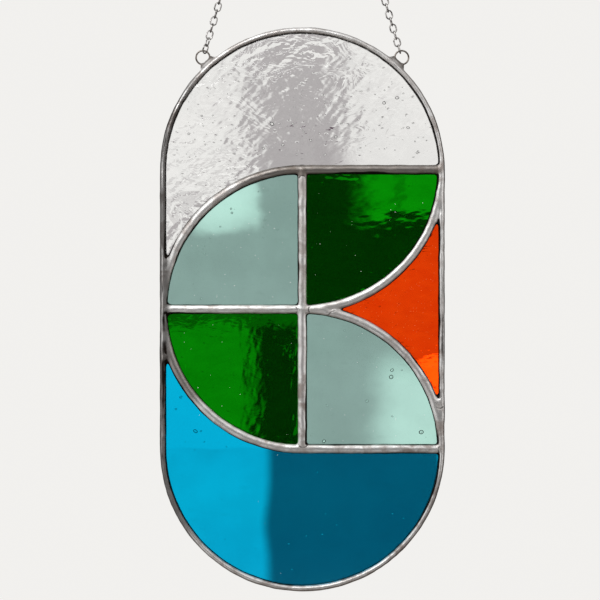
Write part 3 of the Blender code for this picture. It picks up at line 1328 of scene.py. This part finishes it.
@dataclass
class SolderLines:
    """The solder of every seam and of the rim, flowed together, with the mounds at the side rings.

    Args:
        seam: a seam's section.
        rim: the rim's section.
        mound: half the length, depth and height of the mound at a side ring.
        lumps: the swellings where beads meet, right and up from the panel's middle, and half their
            width and height.
        lump_depth: how far they stand out from the panel's middle plane.
        ring_angle: how far the side rings are from the top, in degrees about the cap's middle.
        mound_out: how far outside the rim a mound's middle is.
        leg_wire: half the thickness of the solder that climbs a ring's legs, and how far it goes round.
        voxel: how fine its mesh is.
        swells: how uneven it is.
    """

    seam: BeadSection = BeadSection(0.00212, 0.0015, 0.0012)
    rim: BeadSection = BeadSection(0.0014, 0.0013, 0.0014)
    mound: Place = (0.0042, 0.0016, 0.0013)
    lumps: tuple[tuple[float, float, float, float], ...] = (
        (0.0, 0.0, 0.0034, 0.0032),
        (0.0088, 0.0, 0.0058, 0.0026),
        (0.0142, -0.0010, 0.0030, 0.0025),
        (0.0, -0.0608, 0.0028, 0.0025),
        (0.0, 0.06125, 0.0028, 0.0024),
        (0.0600, 0.06125, 0.0026, 0.0026),
        (0.0600, -0.06125, 0.0026, 0.0026),
        (0.0594, -0.0406, 0.0024, 0.0028),
        (-0.0598, 0.0, 0.0028, 0.0030),
        (-0.0601, 0.0208, 0.0018, 0.0030),
        (-0.0601, -0.0210, 0.0018, 0.0030),
    )
    lump_depth: float = 0.0029
    ring_angle: float = 41.5
    mound_out: float = 0.0003
    leg_wire: tuple[float, float] = (0.0007, 125.0)
    voxel: float = 0.0005
    swells: tuple[Swell, ...] = (
        Swell(0.00030, (0.011, 0.011, 0.011), seed=3),
        Swell(0.00022, (0.0042, 0.0042, 0.0042), seed=5),
    )

    def build(self, effects: Effects) -> None:
        """Builds the solder.

        Args:
            effects: the shared node groups.
        """
        bars = [self._rim()]
        for centre, start, turn in (
            ((0, 0), (-1, 0), Turn.ONWARD),
            ((0, 0), (-1, 0), Turn.BACK),
            ((0, 1), (1, 1), Turn.ONWARD),
            ((0, -1), (1, -1), Turn.BACK),
        ):
            bars.append(self._arc(centre, start, turn))
        bars.append(self._upright())
        for start, length in (((-1, 0), 1.0), ((-0.03, 1), 1.03), ((-0.03, -1), 1.03)):
            bars.append(self._level(start, length))
        solder = join([*bars, *self._lumps()], "solder_beads")
        self._trim(solder)
        for side in Side:
            solder = join([solder, *self._mound(side)], "solder_beads")
        apply_modifier(solder, "REMESH", mode="VOXEL", voxel_size=self.voxel, use_smooth_shade=True)
        apply_modifier(solder, "SMOOTH", factor=0.5, iterations=5)
        for swell in self.swells:
            swell.apply(solder)
        apply_modifier(solder, "SMOOTH", factor=0.5, iterations=2)
        finish_piece(solder, SolderFinish().material(effects), ["solder_lines"], 180.0)

    def _trim(self, solder: Piece) -> None:
        """Draws in what stands out beyond the rim's own oval where the seams run into it.

        Args:
            solder: the joined solder.
        """
        middle = PLAN.middle()
        for vertex in solder.data.vertices:
            right, depth, up = vertex.co - middle
            rise = math.copysign(max(abs(up) - PLAN.radius, 0.0), up)
            limit = PLAN.outer - self.rim.half_width + self.rim.limit(depth)
            reach = math.hypot(right, rise)
            if reach > limit:
                vertex.co.x = middle.x + right * limit / reach
                vertex.co.z += rise * limit / reach - rise

    def _rim(self) -> Piece:
        """The rim: round the upper cap, down, round the lower cap and up again.

        Returns:
            The rim.
        """
        middle = PLAN.middle()
        reach = PLAN.outer - self.rim.half_width
        self.rim.start((middle.x + reach, middle.y, middle.z + PLAN.radius))
        for way in (1, -1):
            centre = (middle.x, middle.y, middle.z + way * PLAN.radius)
            bpy.ops.mesh.spin(steps=48, angle=math.pi, center=centre, axis=(0, 1, 0))
            draw_out((0, 0, -way * 2 * PLAN.radius))
        return close_bar("rim")

    def _arc(self, centre: tuple[float, float], start: tuple[float, float], turn: Turn) -> Piece:
        """A quarter-round seam.

        Args:
            centre: its centre, in radii from the panel's middle.
            start: where it starts, likewise.
            turn: which way it goes round.

        Returns:
            The seam.
        """
        self.seam.start(PLAN.point(*start))
        bpy.ops.mesh.spin(steps=24, angle=math.pi / 2, center=PLAN.point(*centre), axis=(0, -turn.value, 0))
        return close_bar("arc")

    def _upright(self) -> Piece:
        """The seam down the panel's middle.

        Returns:
            The seam.
        """
        self.seam.start(PLAN.point(0, 1))
        draw_out((0, 0, -2 * PLAN.radius))
        return close_bar("upright")

    def _level(self, start: tuple[float, float], length: float) -> Piece:
        """A level seam that runs to the right.

        Args:
            start: where it starts, in radii from the panel's middle.
            length: its length in radii.

        Returns:
            The seam.
        """
        self.seam.start(PLAN.point(*start), along_x=True)
        draw_out((length * PLAN.radius, 0, 0))
        return close_bar("level")

    def _lumps(self) -> list[Piece]:
        """The swellings where beads meet, each a flattened round copied to its place.

        Returns:
            The swellings.
        """
        start_ball((1, self.lump_depth, 1))
        lump = close_edit("lump")
        made = []
        for right, up, half_width, half_height in self.lumps:
            spot = PLAN.middle() + Vector((right, 0, up))
            stretch = Matrix.Diagonal((half_width, 1, half_height, 1))
            made.append(copy_of(lump, Matrix.Translation(spot) @ stretch))
        bpy.data.objects.remove(lump)
        make_active(made[0])
        for piece in made:
            piece.select_set(True)
        apply_transforms()
        return made

    def _mound(self, side: Side) -> list[Piece]:
        """The mound at a side ring's foot and the solder that climbs the ring's legs.

        Args:
            side: the ring's side.

        Returns:
            Both of them.
        """
        ring = node_middle("side_ring_" + side.name.lower())
        lean = side.value * math.radians(self.ring_angle)
        out = Vector((math.sin(lean), 0, math.cos(lean)))
        reach = PLAN.outer + self.mound_out
        cap = Vector(PLAN.point(0, 1))
        start_ball(self.mound)
        bpy.ops.transform.rotate(value=-lean, orient_axis="Y", center_override=(0, 0, 0))
        bpy.ops.transform.translate(value=cap + reach * out)
        mound = close_edit("mound")
        thickness, span = self.leg_wire
        legs = bent_wire("legs", SIDE_RING.radius, thickness, ring, math.degrees(lean) + 180, span)
        return [mound, legs]


def bent_wire(
    name: str, radius: float, thickness: float, centre: Vector, middle: float, span: float, around: int = 12
) -> Piece:
    """A piece of wire bent round a centre in the XZ plane, its ends closed.

    Args:
        name: its name.
        radius: from the centre to the wire's own centreline.
        thickness: half the wire's thickness.
        centre: the middle of the bend.
        middle: where the middle of the wire is, in degrees from straight up towards X.
        span: how far it goes round, in degrees.
        around: how many sides the wire has.

    Returns:
        The wire.
    """
    deselect_all()
    bpy.ops.mesh.primitive_circle_add(
        vertices=around, radius=thickness, fill_type="NOTHING", enter_editmode=True
    )
    select_whole()
    bpy.ops.transform.translate(value=(radius, 0, 0))
    steps = max(8, int(span / 7))
    bpy.ops.mesh.spin(steps=steps, angle=math.radians(span), center=(0, 0, 0), axis=(0, 1, 0))
    piece = close_bar(name)
    turn = Matrix.Rotation(math.radians(middle - 90 + span / 2), 4, "Y")
    piece.matrix_world = Matrix.Translation(centre) @ turn
    make_active(piece)
    apply_transforms()
    return piece


@dataclass
class WireRing:
    """A ring bent from wire, its two ends butted.

    Args:
        node: the CAD node that it stands for.
        size: its width and its wire.
        cut: where its ends meet, in degrees from straight up towards X.
        span: how far its wire goes round, in degrees.
    """

    node: str
    size: RingSize
    cut: float
    span: float = 358.6

    def build(self, material: bpy.types.Material) -> None:
        """Builds the ring.

        Args:
            material: its wire's material.
        """
        name = self.node.replace("ring", "ring_wire")
        centre, middle = node_middle(self.node), self.cut + 180
        ring = bent_wire(name, self.size.radius, self.size.wire / 2, centre, middle, self.span, 16)
        finish_piece(ring, material, [self.node])


@dataclass
class ChainSide:
    """One side of the chain: oval links of round wire, each a quarter turn on from the last.

    Args:
        side: which side of the panel it hangs from.
        quarters: how many quarters its first link is turned.
        twist: how far its lowest links are twisted, in degrees.
        link_width: a link's outer width.
        wire: the wire's thickness.
        pitch: how far apart the links are, about.
        gap: how far an end link's wire stays off a ring's wire, so that they don't cut into each other.
        twisted: how many of the lowest links are twisted, less and less from the first one on.
    """

    side: Side
    quarters: int
    twist: float
    link_width: float = 0.0033
    wire: float = 0.00065
    pitch: float = 0.00317
    gap: float = 0.0003
    twisted: int = 3

    def build(self, material: bpy.types.Material) -> None:
        """Builds the chain side.

        Args:
            material: its wire's material.
        """
        side = self.side.name.lower()
        foot, top = node_middle("side_ring_" + side), node_middle("top_ring")
        run = top - foot
        start = SIDE_RING.bore - self.wire / 2 - self.gap
        end = run.length - (TOP_RING.bore - self.wire / 2 - self.gap)
        span = end - start - self.wire
        count = self.quarters + 2 * round((span / self.pitch - self.quarters) / 2)
        pitch = span / count
        link = self._link(pitch + self.wire)
        lean = Matrix.Translation(foot) @ Matrix.Rotation(math.atan2(run.x, run.z), 4, "Y")
        links = []
        for number in range(count):
            share = max(0.0, 1 - number / self.twisted)
            turn = (number + self.quarters) * math.pi / 2 + share * math.radians(self.twist)
            centre = Vector((0, 0, start + (pitch + self.wire) / 2 + number * pitch))
            links.append(copy_of(link, lean @ Matrix.Translation(centre) @ Matrix.Rotation(turn, 4, "Z")))
        bpy.data.objects.remove(link)
        chain = join(links, "chain_links_" + side)
        finish_piece(chain, material, ["chain_" + side], 180.0)

    def _link(self, length: float) -> Piece:
        """One link, upright at the origin.

        Args:
            length: its length from wire centre to wire centre.

        Returns:
            The link.
        """
        deselect_all()
        half_width = (self.link_width - self.wire) / 2
        bpy.ops.mesh.primitive_torus_add(
            major_radius=half_width,
            minor_radius=self.wire / 2,
            major_segments=16,
            minor_segments=8,
            rotation=(math.pi / 2, math.pi / 16, 0),
        )
        apply_transforms()
        link = bpy.context.object
        for way in (1, -1):
            select_vertices(link, lambda place: place.z * way > 0)
            bpy.ops.transform.translate(value=(0, 0, way * (length / 2 - half_width)))
        return close_edit("link")


# Studio


@dataclass(frozen=True)
class Zone:
    """A soft-edged part of the wall, as the camera sees it in a frame of 600 by 600.

    Args:
        left: its left edge, in pixels from the frame's left.
        right: its right edge, likewise.
        top: its upper edge, in pixels from the frame's top.
        bottom: its lower edge, likewise.
        soft: how wide its left and right edges are.
        soft_up: how wide its upper and lower edges are.
    """

    left: float
    right: float
    top: float
    bottom: float
    soft: float = 3.0
    soft_up: float = 3.0

    def mask(self, w: Wiring, across: object, down: object) -> Socket:
        """Where the zone lies.

        Args:
            w: the wiring to place the nodes with.
            across: a wall point's pixels from the frame's left.
            down: its pixels from the frame's top.

        Returns:
            The mask, 1 in the zone.
        """
        half, half_up = self.soft / 2, self.soft_up / 2
        return w.times(
            w.fade(across, self.left - half, self.left + half),
            w.fall(across, self.right - half, self.right + half),
            w.fade(down, self.top - half_up, self.top + half_up),
            w.fall(down, self.bottom - half_up, self.bottom + half_up),
        )


@dataclass(frozen=True)
class Backing:
    """How light the wall is behind one pane.

    Args:
        area: the pane's place.
        level: the wall's light there, as a share of the lit wall's.
        about: the middle of the quarter round that bounds the pane, in radii from the panel's middle.
        patches: zones in it that are lighter or darker, each with its level.
        stray: how much their edges stray.
    """

    area: Zone
    level: float = 1.0
    about: tuple[float, float] | None = None
    patches: tuple[tuple[Zone, float], ...] = ()
    stray: float = 1.0


BACKINGS = (
    Backing(
        Zone(150, 455, 10, 240),
        patches=(
            (Zone(206, 392, 0, 180, 40, 10), 0.93),
            (Zone(252, 344, 0, 176, 38, 10), 0.48),
            (Zone(150, 250, 176, 270, 30, 30), 0.78),
        ),
    ),
    Backing(Zone(302, 450, 190, 430), 0.86, patches=((Zone(414, 450, 357, 430, 14, 4), 2.5),)),
    Backing(
        Zone(160, 302, 171, 309),
        0.47,
        (0, 0),
        (
            (Zone(190, 259, 170, 229, 12, 14), 0.84),
            (Zone(198, 256, 178, 218, 22, 26), 1.08),
        ),
    ),
    Backing(
        Zone(299, 445, 170.5, 312),
        1.0,
        (0, 1),
        (
            (Zone(290, 360, 160, 320, 30), 0.05),
            (Zone(394, 402, 160, 240, 10), 0.68),
            (Zone(300, 450, 226, 320, 3, 14), 0.05),
            (Zone(382, 450, 217, 320, 10, 10), 0.05),
        ),
    ),
    Backing(
        Zone(160, 302, 309, 449),
        0.78,
        (0, 0),
        (
            (Zone(254, 310, 300, 456, 22), 0.035),
            (Zone(288, 293, 346, 364, 4, 12), 0.5),
            (Zone(150, 310, 300, 321, 3, 10), 0.3),
        ),
    ),
    Backing(Zone(302, 445, 306, 449), 0.47, (0, -1), ((Zone(383, 450, 362, 460, 42, 34), 1.0),)),
    Backing(Zone(150, 455, 449, 600), 0.9, None, ((Zone(268.5, 460, 440, 610, 15), 0.17),), 0.08),
)


@dataclass
class Studio:
    """A pale floor far below, a pale cove behind with soft shades, three soft lamps and the camera.

    Args:
        scale: the photograph's metres for each pixel at the panel.
        pixels: the photograph's width and height.
        middle_pixel: where the panel's middle is in the photograph, right and down.
        lens: the camera's lens, in millimetres.
        sensor: the width of its sensor, in millimetres.
        wall: how far the cove's wall is behind the panel.
        floor: the floor's height.
        bend: the cove's radius.
        width: the cove's width.
        front: how far the floor comes forward.
        rise: how far the wall goes up past the bend.
        lit: the colour of the lit wall.
        dim: the colour that its shades go towards.
        stray: how far the shades' edges stray in all, in pixels.
        lamps: each lamp's name, place from the panel's middle, size and power.
        sky: the light all round.
        bright_way: where the room that gloss reflects is brightest.
        room: its colours, each with its place from the darkest side to the brightest.
        behind: the colour that its rear part goes towards.
        ahead: its colour straight ahead.
    """

    scale: float = 0.0004394
    pixels: int = 600
    middle_pixel: tuple[float, float] = (302.3, 309.3)
    lens: float = 85.0
    sensor: float = 36.0
    wall: float = 1.3
    floor: float = -1.05
    bend: float = 0.3
    width: float = 7.0
    front: float = 4.0
    rise: float = 3.0
    lit: Colour = (0.865, 0.855, 0.835)
    dim: Colour = (0.04, 0.004, 0.028)
    stray: float = 30.0
    lamps: tuple[tuple[str, Place, float, float], ...] = (
        ("key", (-0.32, -1.05, 0.68), 0.6, 3.4),
        ("fill", (1.1, -0.9, 0.1), 0.9, 2.0),
        ("rear", (-0.4, 0.9, 0.6), 0.8, 2.0),
    )
    sky: Colour = (0.80, 0.79, 0.77)
    bright_way: Place = (-0.52, -0.60, 0.60)
    room: tuple[tuple[float, Colour], ...] = (
        (0.0, (0.06, 0.046, 0.038)),
        (0.38, (0.18, 0.15, 0.132)),
        (0.62, (0.44, 0.43, 0.42)),
        (0.9, (1.05, 1.05, 1.06)),
    )
    behind: Colour = (0.035, 0.028, 0.024)
    ahead: Colour = (0.012, 0.010, 0.009)

    def build(self) -> None:
        """Builds the cove, the lights, the world and the camera."""
        bpy.context.scene.view_settings.view_transform = "Standard"
        camera = self._camera()
        self._cove(camera)
        self._lights()
        self._world()

    def _camera(self) -> Piece:
        """The camera, square to the panel, framed as the photograph is.

        Returns:
            The camera.
        """
        middle = PLAN.middle()
        distance = self.pixels * self.scale * self.lens / self.sensor
        place = (
            middle.x + (self.pixels / 2 - self.middle_pixel[0]) * self.scale,
            middle.y - distance,
            middle.z - (self.pixels / 2 - self.middle_pixel[1]) * self.scale,
        )
        deselect_all()
        bpy.ops.object.camera_add(location=place, rotation=(math.pi / 2, 0, 0))
        camera = bpy.context.object
        camera.data.lens = self.lens
        camera.data.sensor_width = self.sensor
        bpy.context.scene.camera = camera
        return camera

    def _cove(self, camera: Piece) -> None:
        """The floor, bent up into the wall, as one sheet.

        Args:
            camera: the camera that sees its shades.
        """
        deselect_all()
        bpy.ops.mesh.primitive_plane_add(size=1, enter_editmode=True)
        select_whole()
        bpy.ops.mesh.delete(type="ONLY_FACE")
        bpy.ops.object.mode_set(mode="OBJECT")
        sheet = bpy.context.object
        for vertex in sheet.data.vertices:
            vertex.select = vertex.co.y > 0
        bpy.ops.object.mode_set(mode="EDIT")
        bpy.ops.mesh.select_mode(type="VERT")
        bpy.ops.mesh.select_all(action="INVERT")
        bpy.ops.mesh.delete(type="VERT")
        select_whole()
        bpy.ops.transform.resize(value=(self.width, 1, 1), center_override=(0, 0, 0))
        bpy.ops.transform.translate(value=(0, -0.5 - self.front, self.floor))
        run = self.front + self.wall - self.bend
        draw_out((0, run, 0))
        centre = (0, self.wall - self.bend, self.floor + self.bend)
        bpy.ops.mesh.spin(steps=24, angle=math.pi / 2, center=centre, axis=(-1, 0, 0))
        draw_out((0, 0, self.rise))
        sheet = close_edit("floor_and_cove")
        make_active(sheet)
        bpy.ops.object.shade_smooth()
        sheet.data.materials.append(self._paper(camera))
        sheet.visible_glossy = False
        sheet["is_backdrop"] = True

    def _paper(self, camera: Piece) -> bpy.types.Material:
        """Pale paper that glows evenly, with soft shades behind the panel.

        Args:
            camera: the camera that the shades are placed for.

        Returns:
            The material.
        """
        made, w, shader = start_material("pale_paper")
        place = w.split(w.place())
        pixel = (self.wall - camera.location.y) / -camera.location.y * self.scale
        right = w.math("DIVIDE", w.less(place["X"], camera.location.x), pixel)
        up = w.math("DIVIDE", w.less(place["Z"], camera.location.z), pixel)
        across, down = w.plus(right, self.pixels / 2), w.less(self.pixels / 2, up)
        radius = PLAN.radius / self.scale
        outline = self._outline(w, across, down, radius)
        stray = w.times(w.less(w.noise(w.place(), 16.0, 3.0), 0.5), self.stray)
        mottle = w.fade(w.noise(w.place(), 22.0, 4.0), 0.3, 0.7, 0.94, 1.04)
        level = 1.0
        for backing in BACKINGS:
            mask = backing.area.mask(w, across, down)
            if backing.about is not None:
                mask = w.times(mask, self._disc(w, across, down, backing.about, radius))
            local = backing.level
            for zone, light in backing.patches:
                offset = w.times(stray, backing.stray)
                strayed = w.plus(across, offset), w.less(down, offset)
                local = w.blend(zone.mask(w, *strayed), local, light)
            level = w.blend(mask, level, w.times(local, mottle))
        colour = w.mix(w.blend(outline, 1.0, level), self.dim, self.lit)
        colour.node.clamp_factor = False
        w.feed(shader, Base_Color=(0.01, 0.01, 0.01, 1.0), Roughness=1.0, Emission_Strength=1.0)
        w.feed(shader, Emission_Color=colour)
        return made

    def _disc(
        self, w: Wiring, across: object, down: object, about: tuple[float, float], radius: float
    ) -> Socket:
        """Where a round of the pattern's radius lies on the wall.

        Args:
            w: the wiring to place the nodes with.
            across: a wall point's pixels from the frame's left.
            down: its pixels from the frame's top.
            about: the round's middle, in radii from the panel's middle.
            radius: the pattern's radius in pixels.

        Returns:
            The mask, 1 in the round.
        """
        aside = w.less(across, self.middle_pixel[0] + about[0] * radius)
        below = w.less(down, self.middle_pixel[1] - about[1] * radius)
        return w.fall(w.distance(aside, below), radius + 1.0, radius + 4.0)

    def _outline(self, w: Wiring, across: object, down: object, radius: float) -> Socket:
        """Where the panel hides the wall from the camera.

        Args:
            w: the wiring to place the nodes with.
            across: a wall point's pixels from the frame's left.
            down: its pixels from the frame's top.
            radius: the pattern's radius in pixels.

        Returns:
            The mask, 1 behind the panel.
        """
        aside = w.less(across, self.middle_pixel[0])
        rise = w.size(w.less(down, self.middle_pixel[1]))
        beyond = w.most(w.less(rise, radius), 0.0)
        return w.fall(w.distance(aside, beyond), radius - 3.0, radius + 1.5)

    def _lights(self) -> None:
        """A soft key from the upper left, a weak fill from the right and a weak lamp from behind."""
        middle = PLAN.middle()
        for name, place, size, power in self.lamps:
            deselect_all()
            spot = middle + Vector(place)
            bpy.ops.object.light_add(type="AREA", location=spot)
            lamp = bpy.context.object
            lamp.name = name
            lamp.rotation_euler = (middle - spot).to_track_quat("-Z", "Y").to_euler()
            lamp.visible_transmission = False
            lamp.visible_camera = False
            lamp.data.size = size
            lamp.data.energy = power

    def _world(self) -> None:
        """Pale light all round, and for gloss a room: bright at the upper left and dark straight ahead."""
        world = bpy.data.worlds.new("studio")
        bpy.context.scene.world = world
        world.use_nodes = True
        w = Wiring(world.node_tree)
        way = w.split(w.add("TexCoord").outputs["Generated"])
        facing = w.times(w.size(way["Y"]), -1.0)
        direction = w.feed(w.add("CombineXYZ"), X=way["X"], Y=facing, Z=way["Z"]).outputs[0]
        toward = w.along(direction, Vector(self.bright_way).normalized())
        front = self._ramp(w, w.plus(w.times(toward, 0.5), 0.5))
        room = w.mix(w.fade(way["Y"], -0.12, 0.3), front, w.mix(0.55, front, self.behind))
        room = w.mix(w.fade(w.along(direction, (0, -1, 0)), 0.95, 0.985), room, self.ahead)
        path = w.add("LightPath").outputs
        reflected = w.times(path["Is Glossy Ray"], w.less(1.0, path["Is Transmission Ray"]))
        shader = world.node_tree.nodes["Background"]
        w.feed(shader, Color=w.mix(reflected, self.sky, room), Strength=1.0)

    def _ramp(self, w: Wiring, value: Socket) -> Socket:
        """The room's colour.

        Args:
            w: the wiring to place the nodes with.
            value: 0 for its darkest side and 1 for its brightest.

        Returns:
            The colour.
        """
        ramp = w.feed(w.add("ValToRGB"), Fac=value)
        ramp.color_ramp.interpolation = "B_SPLINE"
        stops = ramp.color_ramp.elements
        for position, colour in self.room:
            stop = stops.new(position) if position else stops[0]
            stop.color = (*colour, 1.0)
        stops.remove(stops[-1])
        return ramp.outputs[0]


CLEAR = GlassFinish(
    slot="clear_glass",
    tint=(0.985, 0.985, 0.98),
    deep=(0.95, 0.955, 0.95),
    fineness=100.0,
    relief=0.00026,
    wander=1.6,
    lean=24.0,
    pits=0.7,
    film=0.4,
    calmed=True,
)
SEA_GREEN = GlassFinish("sea_green_glass", (0.545, 0.87, 0.785), (0.51, 0.83, 0.74), 40.0)
GREEN = GlassFinish(
    slot="green_glass",
    tint=(0.002, 0.31, 0.002),
    deep=(0.001, 0.26, 0.001),
    fineness=70.0,
    relief=0.00005,
    wander=1.2,
    lean=60.0,
    pits=0.15,
)
UPRIGHT_GREEN = replace(GREEN, fineness=100.0, relief=0.00006, lean=84.0)
ORANGE = GlassFinish(
    slot="orange_glass",
    tint=(0.99, 0.066, 0.002),
    deep=(0.90, 0.048, 0.001),
    fineness=170.0,
    relief=0.00003,
    wander=1.0,
    lean=30.0,
    pits=0.2,
    speck=(0.95, 0.15, 0.02),
)
BLUE = GlassFinish("blue_glass", (0.001, 0.52, 0.84), (0.001, 0.48, 0.80), 30.0, 0.00001)

EVEN = (Swell(0.00010, (0.030, 0.030, 0.030), seed=2),)
UPRIGHT_WAVES = (
    Swell(0.00007, (0.024, 0.024, 0.010), 78.0, 7),
    Swell(0.00004, (0.009, 0.009, 0.003), 70.0, 8),
    Swell(0.000025, (0.004, 0.004, 0.0013), 82.0, 9),
)
LEVEL_WAVES = (
    Swell(0.00007, (0.024, 0.024, 0.010), 6.0, 17),
    Swell(0.00004, (0.009, 0.009, 0.003), 10.0, 18),
    Swell(0.00003, (0.004, 0.004, 0.0016), 4.0, 19),
)
WISPY = (
    Swell(0.00020, (0.030, 0.030, 0.010), 22.0, 16),
    Swell(0.00015, (0.010, 0.010, 0.0035), 30.0, 14),
    Swell(0.00011, (0.0046, 0.0046, 0.0018), 38.0, 15),
)

CLEAR_BUBBLES = (
    (0.0359, 0.0906, 0.0015),
    (0.0416, 0.0928, 0.0014),
    (-0.0133, 0.0814, 0.0017),
    (0.0183, 0.0893, 0.0009),
    (0.0504, 0.0687, 0.0010),
    (0.0464, 0.0797, 0.0011),
    (-0.0041, 0.0814, 0.0009),
    (-0.0441, 0.0849, 0.0009),
    (-0.0498, 0.0770, 0.0010),
    (0.0100, 0.0678, 0.0009),
    (-0.0086, 0.0722, 0.0011),
    (0.0037, 0.0742, 0.0010),
    (-0.0171, 0.0707, 0.0010),
    (0.0147, 0.0757, 0.0011),
    (-0.0023, 0.0680, 0.0009),
)

UPPER_LEFT_BUBBLES = (
    (-0.0313, 0.0441, 0.0009),
    (-0.0309, 0.0423, 0.0010),
    (-0.0164, 0.0392, 0.0008),
)

LOWER_RIGHT_BUBBLES = (
    (0.0394, -0.0267, 0.0013),
    (0.0390, -0.0297, 0.0019),
    (0.0522, -0.0539, 0.0020),
    (0.0095, -0.0579, 0.0016),
    (0.0284, -0.0403, 0.0011),
)

BLUE_BUBBLES = (
    (-0.0469, -0.0535, 0.0016),
    (-0.0533, -0.0385, 0.0010),
    (-0.0555, -0.0438, 0.0009),
    (-0.0445, -0.0535, 0.0008),
)

PANES = (
    GlassPane("pane_clear_top", CLEAR, 0.00046, WISPY, 240, CLEAR_BUBBLES, 340),
    GlassPane("pane_sea_green_upper_left", SEA_GREEN, 0.0007, EVEN, 22, UPPER_LEFT_BUBBLES, 40),
    GlassPane("pane_green_upper_right", GREEN, 0.0005, LEVEL_WAVES, 20, specks_and_glints=16),
    GlassPane("pane_orange_right", ORANGE, 0.0007, EVEN, 10, specks_and_glints=150),
    GlassPane("pane_green_lower_left", UPRIGHT_GREEN, 0.0005, UPRIGHT_WAVES, 20, specks_and_glints=14),
    GlassPane("pane_sea_green_lower_right", SEA_GREEN, 0.0007, EVEN, 14, LOWER_RIGHT_BUBBLES, 30),
    GlassPane("pane_blue_bottom", BLUE, 0.0007, EVEN, 34, BLUE_BUBBLES),
)


def main() -> None:
    """Builds every piece, then the studio."""
    logging.basicConfig(level=logging.INFO, format="%(name)s: %(message)s")
    effects = Effects()
    for pane in PANES:
        pane.build(effects)
    SolderLines().build(effects)
    wire = WireFinish("ring", (0.31, 0.28, 0.25), (0.07, 0.058, 0.048), 0.14).material(effects)
    WireRing("side_ring_left", SIDE_RING, 138.5).build(wire)
    WireRing("side_ring_right", SIDE_RING, -138.5).build(wire)
    WireRing("top_ring", TOP_RING, 62.0).build(wire)
    links = WireFinish("chain", (0.66, 0.64, 0.62), (0.04, 0.034, 0.030), 0.10, 800.0).material(effects)
    ChainSide(Side.LEFT, 0, 50.0).build(links)
    ChainSide(Side.RIGHT, 1, 0.0).build(links)
    Studio().build()
    boxes = {"cad": CAD_BOX, "visual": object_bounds()}
    for name, box in boxes.items():
        LOG.info("%s box: %s", name, [[round(c, 5) for c in corner] for corner in box])


if __name__ == "__main__":
    main()
